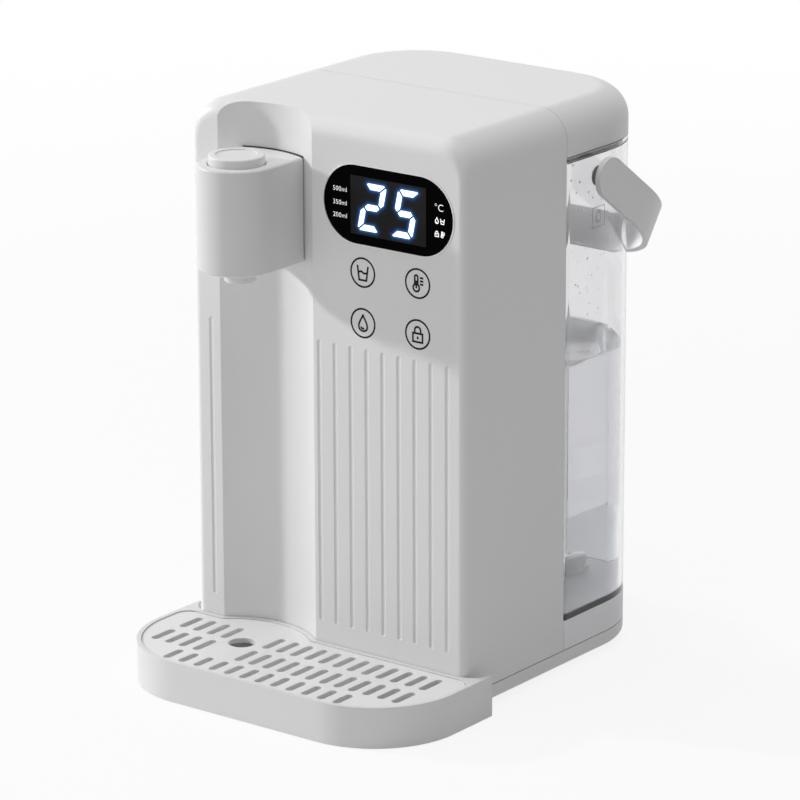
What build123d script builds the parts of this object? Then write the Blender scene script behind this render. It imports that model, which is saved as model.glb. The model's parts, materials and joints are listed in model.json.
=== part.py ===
from build123d import *
import os
from math import cos, radians, sin, sqrt

os.makedirs("parts", exist_ok=True)

# Countertop hot water dispenser: millimetres, +Z up, front towards -Y.
# The origin is on the table, midway between the drip tray's front and the hanging handle's back.

# Machine body
body_width = 172.0
body_depth = 85.0
bay_depth = 87.0
machine_height = 296.0
wall = 2.6
front_edge_radius = 4.0
front_top_radius = 9.0
side_top_radius = 16.0
rear_corner_radius = 48.0
small_corner = 2.0
edge_section_count = 6
quarter_turn = 90.0

# Clearances and cuts
rest_gap = 0.3
seam_gap = 0.4
shaft_clearance = 0.05
overrun = 10.0
join = 0.5

# Feet, base and its seam
foot_height = 2.8
foot_diameter = 18.0
foot_bevel = 0.5
foot_side_inset = 24.0
foot_front_inset = 34.0
foot_rear_inset = 22.0
base_height = 9.0
base_floor = 2.6
base_bottom_radius = 3.5
seam_height = 0.5
seam_depth = 1.0

# Base screws and the posts that take them
screw_diameter = 3.0
screw_head_diameter = 6.0
screw_head_height = 1.4
screw_length = 14.0
post_width = 10.0
post_height = 40.0
front_screw_inset = 14.0
rear_screw_inset = 40.0
rear_screw_side_inset = 28.0

# Niche in the front
niche_side_gap = 17.15
niche_chord = 60.3
niche_depth = 11.0

# Panel grooves
groove_pitch = 10.0
groove_side_gap = 10.0
groove_width = 2.6
groove_depth = 0.45
groove_bottom = 33.0
groove_drop = 113.7
groove_margin = 3.0

# Display and touch keys
window_side_gap = 7.2
window_niche_gap = 7.35
window_height = 40.0
window_drop = 40.2
window_inset = 0.3
window_flange = 1.2
window_flange_thickness = 1.2
window_bevel = 0.6
digits_side_inset = 17.0
digits_height = 26.0
digits_depth = 4.0
board_thickness = 1.6
display_board_inset = 5.0
display_board_height = 34.0
touch_board_width = 52.0
touch_board_height = 44.0
touch_shift = 1.2
touch_drop = 87.5

# Spout head
spout_half_width = 20.0
spout_nose_reach = 42.0
spout_drop = 23.2
spout_height = 54.1
spout_wall = 2.4
spout_edge = 1.2
shadow_gap = 0.8
shadow_depth = 5.0
spout_cover_thickness = 2.4
neck_diameter = 22.0
neck_bore = 16.0
neck_room = 2.9
neck_length = 12.0
nut_diameter = 30.0
nut_thickness = 5.0
nut_sides = 6

# Nozzle
nozzle_diameter = 16.0
nozzle_drop = 7.2
nozzle_reach = 20.4
nozzle_bore = 3.0
nozzle_flange = 1.5
nozzle_flange_thickness = 2.0
nozzle_rim = 2.0
nozzle_cup_depth = 3.0
nozzle_spigot_length = 7.0

# Push button, switch and spring
button_diameter = 28.4
button_rise = 4.4
button_well_gap = 0.4
button_well_bevel = 0.7
button_dish_diameter = 21.4
button_dish_depth = 0.5
button_edge = 0.8
button_flange = 1.6
button_flange_thickness = 1.6
button_travel = 2.5
plunger_diameter = 6.0
plunger_length = 3.2
switch_size = 6.0
switch_height = 4.0
switch_board_depth = 26.0
spring_diameter = 14.0
spring_wire = 1.2

# Tank seat and its coupling
seat_height = 15.4
socket_depth = 11.0
socket_clearance = 0.5
socket_floor = 1.6
seat_seal_thickness = 1.0
seat_seal_bore = 12.0
coupling_diameter = 6.0
coupling_flange = 11.0
coupling_bore = 3.0
barb_length = 14.0
inlet_width = 22.0
inlet_height = 9.0
inlet_depth = 12.0
inlet_recess = 8.0
inlet_pin = 2.4
inlet_pin_spacing = 8.6
inlet_pin_inset = 2.0
inlet_slot_width = 17.0
inlet_slot_height = 6.4

# Tank
tank_wall = 2.4
tank_floor = 2.6
rim_height = 2.2
rim_groove_height = 0.7
rim_groove_depth = 0.8
neck_outer = 28.0
tank_neck_bore = 20.0
tank_neck_place = 38.0
peg_diameter = 6.0
pivot_place = 112.0
pivot_drop = 13.9

# Outlet valve in the tank
insert_wall = 3.4
insert_flange = 3.0
insert_floor = 2.0
valve_hole = 9.0
poppet_diameter = 11.0
poppet_thickness = 2.0
poppet_stem = 4.0
washer_thickness = 1.2
valve_travel = 2.5
valve_spring_diameter = 10.0
filter_diameter = 36.0
filter_height = 18.0
filter_wall = 2.0
filter_slot_width = 3.0
filter_slot_count = 10

# Lid
lid_height = 23.9
lid_wall = 2.6
plug_gap = 1.2
plug_wall = 2.0
plug_depth = 4.0
gasket_height = 1.2
gasket_gap = 0.3

# Bail handle
strap_width = 21.0
strap_thickness = 3.0
strap_offset = 5.8
strap_corner = 50.0
strap_floor = 1.0
bush_diameter = 10.5
bush_groove_width = 0.7
bush_groove_depth = 0.6
bush_groove_count = 3
hang_angle = 36.0

# Drip tray and grille
tray_overhang = 9.0
tray_reach = 70.0
tray_height = 21.3
tray_lift = 0.5
tray_corner = 48.0
tray_floor = 2.4
tray_rim = 2.4
tray_ledge = 2.5
horn_reach = 11.0
horn_gap = 8.0
horn_inner_radius = 14.0
tray_rear_corner = 8.0
tongue_width = 40.0
tongue_offset = 40.0
tongue_length = 9.0
tongue_thickness = 3.0
grille_thickness = 2.6
grille_recess = 0.5
slot_width = 4.3
slot_length = 17.0
front_slot_length = 14.0
slot_margin = 17.65
front_slot_margin = 40.55
slot_count = 18
front_slot_count = 12
left_slot_count = 4
bare_slot_count = 2
rear_row = 16.6
middle_row = 39.0
front_row = 58.4
finger_hole_diameter = 14.0
finger_hole_shift = 0.6
finger_hole_place = 25.0

# Pump
pump_place = 45.0
pump_bottom = 32.0
pump_diameter = 32.0
pump_head_height = 16.0
pump_wall = 2.5
motor_diameter = 26.0
motor_height = 40.0
motor_flange = 3.0
shaft_diameter = 3.0
shaft_length = 20.0
shaft_end_room = 1.0
impeller_diameter = 25.4
impeller_disc = 2.0
impeller_blade = 6.0
impeller_blade_thickness = 1.5
impeller_blade_count = 6
impeller_rim = 1.0
impeller_room = 1.0
bracket_width = 38.0
bracket_thickness = 4.0
bracket_height = 24.0
pump_bracket_level = 62.0

# Heater
heater_offset = 45.0
heater_diameter = 32.0
heater_bottom = 80.0
heater_drop = 50.0
heater_wall = 3.0
cap_diameter = 36.0
cap_height = 14.0
cap_spigot_length = 8.0

# Hoses
hose_diameter = 8.0
hose_bore = 5.0
spigot_fit = 0.1
hose_bend = 14.0
hose_level = 10.5

# Power board
power_board_room = 2.2
power_board_height = 90.0
power_board_bottom = 60.0
standoff_diameter = 6.0
standoff_height = 6.0
standoff_inset = 6.0
coil_size = 26.0
coil_depth = 20.0
capacitor_diameter = 16.0
capacitor_length = 22.0

# Places worked out from the sizes above
hang_cos = cos(radians(hang_angle))
hang_sin = sin(radians(hang_angle))
machine_depth = body_depth + bay_depth
bail_inner = (machine_depth - pivot_place + rest_gap + strap_width / 2 * hang_sin) / hang_cos
bail_outer = bail_inner + strap_thickness
handle_reach = pivot_place + bail_outer * hang_cos + strap_width / 2 * hang_sin
front_y = (tray_reach - handle_reach) / 2
body_rear = front_y + body_depth
rear_y = front_y + machine_depth
half_width = body_width / 2
niche_offset = half_width - niche_side_gap - niche_chord / 2
window_left = niche_chord / 2 + window_niche_gap - niche_offset
window_right = half_width - window_side_gap
window_width = window_right - window_left
window_offset = (window_left + window_right) / 2
touch_offset = window_offset + touch_shift
tray_width = body_width + 2 * tray_overhang
slot_pitch = (tray_width - 2 * slot_margin) / (slot_count - 1)
front_slot_pitch = (tray_width - 2 * front_slot_margin) / (front_slot_count - 1)
base_bottom = foot_height
base_top = base_bottom + base_height
base_inside = base_bottom + base_floor
tongue_level = base_inside + seam_gap
seat_top = base_top + seat_height
tank_front = body_rear + seam_gap
tank_bottom = seat_top + rest_gap
tank_inside = tank_bottom + tank_floor
tank_top = machine_height - lid_height - seam_gap
pivot_height = tank_top - pivot_drop
window_center = machine_height - window_drop
touch_center = machine_height - touch_drop
groove_top = machine_height - groove_drop
spout_top = machine_height - spout_drop
spout_bottom = spout_top - spout_height
flange_top = spout_top - spout_wall - rest_gap
flange_bottom = flange_top - button_flange_thickness
switch_top = flange_bottom - plunger_length - button_travel - rest_gap
switch_board_top = switch_top - switch_height
neck_level = switch_board_top - board_thickness - hose_diameter / 2 - neck_room
heater_top = neck_level - heater_drop
heater_length = heater_top - heater_bottom
heater_bracket_level = (heater_bottom + heater_top) / 2
niche_radius = ((niche_chord / 2) ** 2 + niche_depth**2) / (2 * niche_depth)
niche_x = -niche_offset
niche_y = front_y + niche_depth - niche_radius
niche_crest = front_y + niche_depth
cavity_width = body_width - 2 * wall
pivot_y = front_y + pivot_place
outlet_y = body_rear + tank_neck_place
spout_y = front_y - spout_nose_reach + spout_half_width
nozzle_y = front_y - nozzle_reach
pump_y = front_y + pump_place
wall_face = body_rear - wall


def draw_front_profile(width, bottom, top, corner):
    # An upright outline with both upper corners rounded.
    with Locations((0, (bottom + top) / 2)):
        Rectangle(width, top - bottom)
    fillet(vertices().group_by(Axis.Y)[-1], corner)


def draw_plan(width, front, rear, front_corner, rear_corner):
    # The machine's footprint: tight corners in front, wide ones at the rear.
    with Locations((0, (front + rear) / 2)):
        Rectangle(width, rear - front)
    if front_corner:
        fillet(vertices().group_by(Axis.Y)[0], front_corner)
    fillet(vertices().group_by(Axis.Y)[-1], rear_corner)


def draw_spout_plan(half):
    # A half-round nose with straight sides that run back into the niche.
    with Locations((niche_x, spout_y)):
        Circle(half)
    with Locations((niche_x, (spout_y + niche_crest) / 2)):
        Rectangle(2 * half, niche_crest - spout_y)


def bay_outline(inset, front_corner=small_corner):
    # The tank's footprint, moved in by the inset.
    with BuildSketch(mode=Mode.PRIVATE) as outline:
        width = body_width - 2 * inset
        corner = rear_corner_radius - inset
        draw_plan(width, tank_front + inset, rear_y - inset, front_corner, corner)
    return outline.sketch_local


def niche_bulge(inset):
    # The part of the tray's rear edge that fills the foot of the niche.
    with BuildSketch(mode=Mode.PRIVATE) as bulge:
        with Locations((niche_x, niche_y)):
            Circle(niche_radius - rest_gap - inset)
        with Locations((niche_x, niche_crest)):
            Rectangle(2 * niche_radius, 2 * (niche_depth + inset + join), mode=Mode.INTERSECT)
    return bulge.sketch_local


def horn_keepout():
    # The space between the tray's horns, which the housing's foot stands in.
    front = front_y - rest_gap
    rear = front_y + horn_reach + overrun
    with BuildSketch(mode=Mode.PRIVATE) as keepout:
        with Locations((0, (front + rear) / 2)):
            Rectangle(body_width + 2 * horn_gap, rear - front)
        fillet(vertices().group_by(Axis.Y)[0], horn_inner_radius)
    return keepout.sketch_local


def draw_tray_inside(inset):
    # The tray's outline without its horns, moved in by the inset, with the bulge into the niche.
    rear = front_y - rest_gap - inset
    front = front_y - tray_reach + inset
    with Locations((0, (front + rear) / 2)):
        Rectangle(tray_width - 2 * inset, rear - front)
    fillet(vertices().group_by(Axis.Y)[0], tray_corner - inset)
    fillet(vertices().group_by(Axis.Y)[-1], tray_rear_corner)
    add(niche_bulge(inset))


def bail_outline(half, reach, corner):
    # The handle's loop as a filled outline, rounded at its far end.
    with BuildSketch(mode=Mode.PRIVATE) as outline:
        with Locations((0, reach / 2)):
            Rectangle(2 * half, reach)
        fillet(vertices().group_by(Axis.Y)[-1], corner)
    return outline.sketch_local


def round_inset(radius, depth):
    # How far a quarter round stands in from the edge at a depth behind the front.
    reach = max(radius - depth, 0)
    return radius - sqrt(radius**2 - reach**2)


def hose_path(*points):
    # Straight runs joined by tangent arcs.
    return FilletPolyline(*points, radius=hose_bend)


def draw_hose_section():
    # A round hose with its bore.
    Circle(hose_diameter / 2)
    Circle(hose_bore / 2, mode=Mode.SUBTRACT)


# Front rounding: the sides turn in over the edge radius, the top over its own larger radius.
edge_steps = [step / edge_section_count for step in range(edge_section_count + 1)]
edge_depths = [front_edge_radius * (1 - cos(radians(quarter_turn * step))) for step in edge_steps]
top_run = front_top_radius - front_edge_radius
top_depths = [front_edge_radius + top_run * step for step in edge_steps]

# Hollow of the housing, left full round the niche
with BuildPart() as housing_hollow:
    with BuildSketch(Plane.XZ.offset(-front_y - front_top_radius)):
        draw_front_profile(cavity_width, base_top, machine_height - wall, side_top_radius - wall)
    extrude(amount=front_top_radius - body_depth)
    with BuildSketch(Plane.XZ.offset(-front_y - wall)):
        draw_front_profile(cavity_width, base_top, machine_height - front_top_radius, side_top_radius - wall)
    extrude(amount=wall - front_top_radius)
    with BuildSketch(Plane.XY.offset(base_top)):
        with Locations((niche_x, niche_y)):
            Circle(niche_radius + wall)
    extrude(amount=machine_height, mode=Mode.SUBTRACT)

# Main housing
groove_half_count = round((half_width - groove_side_gap) / groove_pitch)
groove_numbers = range(-groove_half_count, groove_half_count)
groove_places = [groove_pitch * (number + 1 / 2) for number in groove_numbers]
groove_clear = niche_chord / 2 + groove_margin
with BuildPart() as main_housing:
    for depths in (edge_depths, top_depths):
        for depth in depths:
            inset = round_inset(front_edge_radius, depth)
            top = machine_height - round_inset(front_top_radius, depth)
            with BuildSketch(Plane.XZ.offset(-front_y - depth)):
                draw_front_profile(body_width - 2 * inset, base_top, top, side_top_radius - inset)
        loft()
    with BuildSketch(Plane.XZ.offset(-front_y - front_top_radius)):
        draw_front_profile(body_width, base_top, machine_height, side_top_radius)
    extrude(amount=front_top_radius - body_depth)
    add(housing_hollow.part, mode=Mode.SUBTRACT)
    with BuildSketch(Plane.XY.offset(base_top - overrun)):
        with Locations((niche_x, niche_y)):
            Circle(niche_radius)
    extrude(amount=machine_height + overrun, mode=Mode.SUBTRACT)
    with BuildSketch(Plane.XZ.offset(-front_y)):
        for place in groove_places:
            if abs(place - niche_x) > groove_clear:
                with Locations((place, (groove_bottom + groove_top) / 2)):
                    SlotOverall(groove_top - groove_bottom, groove_width, rotation=quarter_turn)
    extrude(amount=-groove_depth, taper=quarter_turn / 2, mode=Mode.SUBTRACT)
    with BuildSketch(Plane.XZ.offset(-front_y)):
        with Locations((window_offset, window_center)):
            SlotOverall(window_width, window_height)
    extrude(amount=-wall, mode=Mode.SUBTRACT)
    with BuildSketch(Plane.XZ.offset(-front_y)):
        with Locations((window_offset, window_center)):
            SlotOverall(window_width + 2 * window_bevel, window_height + 2 * window_bevel)
    extrude(amount=-window_bevel, taper=quarter_turn / 2, mode=Mode.SUBTRACT)
    with BuildSketch(Plane.XZ.offset(-niche_crest)):
        with Locations((niche_x, neck_level)):
            Circle(neck_diameter / 2)
    extrude(amount=wall + join, both=True, mode=Mode.SUBTRACT)
    for side in (-1, 1):
        post_x = side * (half_width - wall - post_width / 2)
        with BuildSketch(Plane.XY.offset(base_inside)):
            with Locations((post_x, front_y + front_screw_inset)):
                Rectangle(post_width, post_width)
                Circle(screw_diameter / 2, mode=Mode.SUBTRACT)
        extrude(amount=post_height)
main_housing.part.label = "main_housing"
export_step(main_housing.part, "parts/main_housing.step")

# Rear wall between the machine and the tank, with the power board's standoffs
board_top = power_board_bottom + power_board_height
power_board_side = half_width - wall
power_board_width = power_board_side - bracket_width / 2 - 2 * power_board_room
power_board_offset = (power_board_side + bracket_width / 2) / 2
standoff_spread = power_board_width / 2 - standoff_inset
with BuildPart() as rear_wall:
    with BuildSketch(Plane.XZ.offset(-body_rear)):
        draw_front_profile(cavity_width, base_top, machine_height - wall, side_top_radius - wall)
    extrude(amount=wall)
    with BuildSketch(Plane.XZ.offset(-wall_face)):
        for side in (-1, 1):
            for level in (power_board_bottom + standoff_inset, board_top - standoff_inset):
                with Locations((side * standoff_spread - power_board_offset, level)):
                    Circle(standoff_diameter / 2)
    extrude(amount=standoff_height)
    with BuildSketch(Plane.XZ.offset(-body_rear)):
        with Locations((0, hose_level)):
            Circle(hose_diameter / 2 + join)
    extrude(amount=wall + overrun, mode=Mode.SUBTRACT)
rear_wall.part.label = "rear_wall"
export_step(rear_wall.part, "parts/rear_wall.step")

# Base pan
front_screw_x = half_width - wall - post_width / 2
rear_screw_x = half_width - rear_screw_side_inset
screw_places = [
    (-front_screw_x, front_y + front_screw_inset),
    (front_screw_x, front_y + front_screw_inset),
    (-rear_screw_x, rear_y - rear_screw_inset),
    (rear_screw_x, rear_y - rear_screw_inset),
]
with BuildPart() as base_hollow:
    with BuildSketch(Plane.XY.offset(base_inside)):
        hollow_front = front_y + wall
        hollow_rear = rear_y - wall
        draw_plan(cavity_width, hollow_front, hollow_rear, small_corner, rear_corner_radius - wall)
    extrude(amount=base_height)
    with BuildSketch(Plane.XY.offset(base_inside)):
        with Locations((niche_x, niche_y)):
            Circle(niche_radius + wall)
    extrude(amount=base_height, mode=Mode.SUBTRACT)

with BuildPart() as base_pan:
    with BuildSketch(Plane.XY.offset(base_bottom)):
        draw_plan(body_width, front_y, rear_y, front_edge_radius, rear_corner_radius)
    extrude(amount=base_height - seam_height)
    fillet(faces().sort_by(Axis.Z)[0].edges(), base_bottom_radius)
    seam_front = front_y + seam_depth
    seam_rear = rear_y - seam_depth
    with BuildSketch(Plane.XY.offset(base_top - seam_height)):
        draw_plan(
            body_width - 2 * seam_depth,
            seam_front,
            seam_rear,
            front_edge_radius - seam_depth,
            rear_corner_radius - seam_depth,
        )
    extrude(amount=seam_height)
    add(base_hollow.part, mode=Mode.SUBTRACT)
    with BuildSketch(Plane.XY.offset(base_bottom)):
        with Locations((niche_x, niche_y)):
            Circle(niche_radius)
    extrude(amount=base_height, mode=Mode.SUBTRACT)
    tongue_center = tongue_level + tongue_thickness / 2
    with BuildSketch(Plane.XZ.offset(-front_y)):
        with Locations((tongue_offset, tongue_center)):
            Rectangle(tongue_width + 2 * seam_gap, tongue_thickness + 2 * seam_gap)
    extrude(amount=-wall, mode=Mode.SUBTRACT)
    with BuildSketch(Plane.XY.offset(base_bottom)):
        with Locations(*screw_places):
            Circle(screw_head_diameter / 2)
    extrude(amount=screw_head_height, mode=Mode.SUBTRACT)
    with BuildSketch(Plane.XY.offset(base_bottom)):
        with Locations(*screw_places):
            Circle(screw_diameter / 2)
    extrude(amount=base_floor, mode=Mode.SUBTRACT)
base_pan.part.label = "base_pan"
export_step(base_pan.part, "parts/base_pan.step")

# Rubber feet
foot_x = half_width - foot_side_inset
foot_places = {
    "foot_front_left": (-foot_x, front_y + foot_front_inset),
    "foot_front_right": (foot_x, front_y + foot_front_inset),
    "foot_rear_left": (-foot_x + foot_rear_inset, rear_y - foot_rear_inset),
    "foot_rear_right": (foot_x - foot_rear_inset, rear_y - foot_rear_inset),
}
for name, place in foot_places.items():
    with BuildPart() as foot:
        with BuildSketch():
            with Locations(place):
                Circle(foot_diameter / 2)
        extrude(amount=foot_height)
        chamfer(faces().sort_by(Axis.Z)[0].edges(), foot_bevel)
    foot.part.label = name
    export_step(foot.part, f"parts/{name}.step")

# Base screws
for number, place in enumerate(screw_places, start=1):
    with BuildPart() as base_screw:
        with BuildSketch(Plane.XY.offset(base_bottom)):
            with Locations(place):
                Circle(screw_head_diameter / 2)
        extrude(amount=screw_head_height)
        with BuildSketch(Plane.XY.offset(base_bottom)):
            with Locations(place):
                Circle(screw_diameter / 2)
        extrude(amount=screw_length)
    base_screw.part.label = f"base_screw_{number}"
    export_step(base_screw.part, f"parts/base_screw_{number}.step")

# Tank seat with the socket for the tank's neck
socket_bore = neck_outer + 2 * socket_clearance
socket_bottom = seat_top - socket_depth
inlet_level = (base_top + seat_top - wall) / 2
with BuildPart() as tank_seat:
    with BuildSketch(Plane.XY.offset(base_top)):
        draw_plan(body_width, tank_front, rear_y, small_corner, rear_corner_radius)
    extrude(amount=seat_height)
    with BuildSketch(Plane.XY.offset(base_top)):
        draw_plan(
            body_width - 2 * wall,
            tank_front + wall,
            rear_y - wall,
            small_corner,
            rear_corner_radius - wall,
        )
    extrude(amount=seat_height - wall, mode=Mode.SUBTRACT)
    with BuildSketch(Plane.XY.offset(socket_bottom - socket_floor)):
        with Locations((0, outlet_y)):
            Circle(socket_bore / 2 + wall)
    extrude(amount=socket_depth + socket_floor - join)
    with BuildSketch(Plane.XY.offset(socket_bottom)):
        with Locations((0, outlet_y)):
            Circle(socket_bore / 2)
    extrude(amount=socket_depth, mode=Mode.SUBTRACT)
    with BuildSketch(Plane.XY.offset(socket_bottom - socket_floor)):
        with Locations((0, outlet_y)):
            Circle(coupling_diameter / 2)
    extrude(amount=socket_floor, mode=Mode.SUBTRACT)
    for place in screw_places[2:]:
        with BuildSketch(Plane.XY.offset(base_inside)):
            with Locations(place):
                Circle(post_width / 2)
                Circle(screw_diameter / 2, mode=Mode.SUBTRACT)
        extrude(amount=seat_top - wall - base_inside)
    with BuildSketch(Plane.XZ.offset(-rear_y)):
        with Locations((0, inlet_level)):
            Rectangle(inlet_width, inlet_height)
    extrude(amount=wall, mode=Mode.SUBTRACT)
    with BuildSketch(Plane.XZ.offset(-tank_front)):
        with Locations((0, hose_level)):
            Circle(hose_diameter / 2 + join)
    extrude(amount=-wall, mode=Mode.SUBTRACT)
tank_seat.part.label = "tank_seat"
export_step(tank_seat.part, "parts/tank_seat.step")

# Rubber seal on the socket's floor
with BuildPart() as seat_seal:
    with BuildSketch(Plane.XY.offset(socket_bottom)):
        with Locations((0, outlet_y)):
            Circle(socket_bore / 2)
            Circle(seat_seal_bore / 2, mode=Mode.SUBTRACT)
    extrude(amount=seat_seal_thickness)
seat_seal.part.label = "seat_seal"
export_step(seat_seal.part, "parts/seat_seal.step")

# Coupling: a hollow pin that lifts the tank's valve, with a flange and a hose barb below
insert_bottom = socket_bottom + seat_seal_thickness + rest_gap
valve_seat = insert_bottom + insert_floor
washer_bottom = valve_seat + valve_travel + rest_gap
poppet_bottom = washer_bottom + washer_thickness
coupling_top = poppet_bottom - rest_gap
with BuildPart() as seat_coupling:
    with BuildSketch(Plane.XY.offset(base_inside)):
        with Locations((0, outlet_y)):
            Circle(coupling_flange / 2)
    extrude(amount=socket_bottom - socket_floor - base_inside)
    with BuildSketch(Plane.XY.offset(base_inside)):
        with Locations((0, outlet_y)):
            Circle(coupling_diameter / 2)
    extrude(amount=coupling_top - base_inside)
    with BuildSketch(Plane.XZ.offset(-outlet_y)):
        with Locations((0, hose_level)):
            Circle(hose_bore / 2 - spigot_fit)
    extrude(amount=coupling_flange / 2 + barb_length)
    with BuildSketch(Plane.XZ.offset(-outlet_y)):
        with Locations((0, hose_level)):
            Circle(coupling_bore / 2)
    extrude(amount=coupling_flange / 2 + barb_length, mode=Mode.SUBTRACT)
    with BuildSketch(Plane.XY.offset(hose_level)):
        with Locations((0, outlet_y)):
            Circle(coupling_bore / 2)
    extrude(amount=coupling_top, mode=Mode.SUBTRACT)
seat_coupling.part.label = "seat_coupling"
export_step(seat_coupling.part, "parts/seat_coupling.step")

# Power inlet in the seat's rear, with its two pins
pin_places = [(side * inlet_pin_spacing / 2, inlet_level) for side in (-1, 1)]
with BuildPart() as power_inlet:
    with BuildSketch(Plane.XZ.offset(-rear_y)):
        with Locations((0, inlet_level)):
            Rectangle(inlet_width, inlet_height)
    extrude(amount=inlet_depth)
    with BuildSketch(Plane.XZ.offset(-rear_y)):
        with Locations((0, inlet_level)):
            SlotOverall(inlet_slot_width, inlet_slot_height)
    extrude(amount=inlet_recess, mode=Mode.SUBTRACT)
    with BuildSketch(Plane.XZ.offset(inlet_depth - rear_y)):
        with Locations(*pin_places):
            Circle(inlet_pin / 2 + shaft_clearance)
    extrude(amount=inlet_recess - inlet_depth, mode=Mode.SUBTRACT)
power_inlet.part.label = "power_inlet"
export_step(power_inlet.part, "parts/power_inlet.step")

with BuildPart() as inlet_pins:
    with BuildSketch(Plane.XZ.offset(inlet_depth - rear_y)):
        with Locations(*pin_places):
            Circle(inlet_pin / 2)
    extrude(amount=inlet_pin_inset - inlet_depth)
inlet_pins.part.label = "inlet_pins"
export_step(inlet_pins.part, "parts/inlet_pins.step")

# Display window, digit module, display board and touch board
window_back = front_y + wall
with BuildPart() as display_window:
    with BuildSketch(Plane.XZ.offset(-front_y - window_inset)):
        with Locations((window_offset, window_center)):
            SlotOverall(window_width, window_height)
    extrude(amount=window_inset - wall)
    with BuildSketch(Plane.XZ.offset(-window_back)):
        with Locations((window_offset, window_center)):
            SlotOverall(window_width + 2 * window_flange, window_height + 2 * window_flange)
    extrude(amount=-window_flange_thickness)
display_window.part.label = "display_window"
export_step(display_window.part, "parts/display_window.step")

digits_front = window_back + window_flange_thickness
with BuildPart() as digit_module:
    with BuildSketch(Plane.XZ.offset(-digits_front)):
        with Locations((window_offset, window_center)):
            Rectangle(window_width - 2 * digits_side_inset, digits_height)
    extrude(amount=-digits_depth)
digit_module.part.label = "digit_module"
export_step(digit_module.part, "parts/digit_module.step")

with BuildPart() as display_board:
    with BuildSketch(Plane.XZ.offset(-digits_front - digits_depth)):
        with Locations((window_offset, window_center)):
            Rectangle(window_width - 2 * display_board_inset, display_board_height)
    extrude(amount=-board_thickness)
display_board.part.label = "display_board"
export_step(display_board.part, "parts/display_board.step")

with BuildPart() as touch_board:
    with BuildSketch(Plane.XZ.offset(-window_back)):
        with Locations((touch_offset, touch_center)):
            Rectangle(touch_board_width, touch_board_height)
    extrude(amount=-board_thickness)
touch_board.part.label = "touch_board"
export_step(touch_board.part, "parts/touch_board.step")

# Spout housing: a hollow head with a neck through the niche wall and a shadow line where they meet
head_radius = niche_radius - shadow_gap
well_diameter = button_diameter + 2 * button_well_gap
with BuildPart() as spout_housing:
    with BuildSketch(Plane.XY.offset(spout_bottom)):
        draw_spout_plan(spout_half_width)
        with Locations((niche_x, niche_y)):
            Circle(head_radius, mode=Mode.INTERSECT)
    extrude(amount=spout_height)
    fillet(faces().sort_by(Axis.Z)[-1].edges(), spout_edge)
    fillet(faces().sort_by(Axis.Z)[0].edges(), spout_edge)
    with BuildSketch(Plane.XY.offset(spout_bottom + spout_edge)):
        draw_spout_plan(spout_half_width - spout_edge)
        with Locations((niche_x, niche_y)):
            Circle(niche_radius, mode=Mode.INTERSECT)
            Circle(head_radius - join, mode=Mode.SUBTRACT)
    extrude(amount=spout_height - spout_edge - shadow_depth)
    with BuildSketch(Plane.XZ.offset(-niche_crest)):
        with Locations((niche_x, neck_level)):
            Circle(neck_diameter / 2)
    extrude(amount=-neck_length)
    with BuildSketch(Plane.XZ.offset(-niche_crest)):
        with Locations((niche_x, neck_level)):
            Circle(neck_diameter / 2)
    extrude(amount=shadow_gap + join)
    with BuildSketch(Plane.XY.offset(spout_bottom)):
        draw_spout_plan(spout_half_width - spout_wall)
        with Locations((niche_x, niche_y)):
            Circle(head_radius - spout_wall, mode=Mode.INTERSECT)
    extrude(amount=spout_height - spout_wall, mode=Mode.SUBTRACT)
    with BuildSketch(Plane.XZ.offset(-niche_crest - neck_length)):
        with Locations((niche_x, neck_level)):
            Circle(neck_bore / 2)
    extrude(amount=neck_length + overrun, mode=Mode.SUBTRACT)
    with BuildSketch(Plane.XY.offset(spout_top - spout_wall)):
        with Locations((niche_x, spout_y)):
            Circle(well_diameter / 2)
    extrude(amount=spout_wall, mode=Mode.SUBTRACT)
    well_rim = edges().filter_by(GeomType.CIRCLE).group_by(Axis.Z)[-1]
    chamfer(well_rim.filter_by(lambda rim: abs(rim.radius - well_diameter / 2) < join / 2), button_well_bevel)
spout_housing.part.label = "spout_housing"
export_step(spout_housing.part, "parts/spout_housing.step")

with BuildPart() as spout_nut:
    with BuildSketch(Plane.XZ.offset(-niche_crest - wall)):
        with Locations((niche_x, neck_level)):
            RegularPolygon(nut_diameter / 2, nut_sides)
            Circle(neck_diameter / 2, mode=Mode.SUBTRACT)
    extrude(amount=-nut_thickness)
spout_nut.part.label = "spout_nut"
export_step(spout_nut.part, "parts/spout_nut.step")

with BuildPart() as spout_cover:
    with BuildSketch(Plane.XY.offset(spout_bottom)):
        draw_spout_plan(spout_half_width - spout_wall)
        with Locations((niche_x, niche_y)):
            Circle(head_radius - spout_wall, mode=Mode.INTERSECT)
        with Locations((niche_x, nozzle_y)):
            Circle(nozzle_diameter / 2, mode=Mode.SUBTRACT)
    extrude(amount=spout_cover_thickness)
spout_cover.part.label = "spout_cover"
export_step(spout_cover.part, "parts/spout_cover.step")

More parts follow.
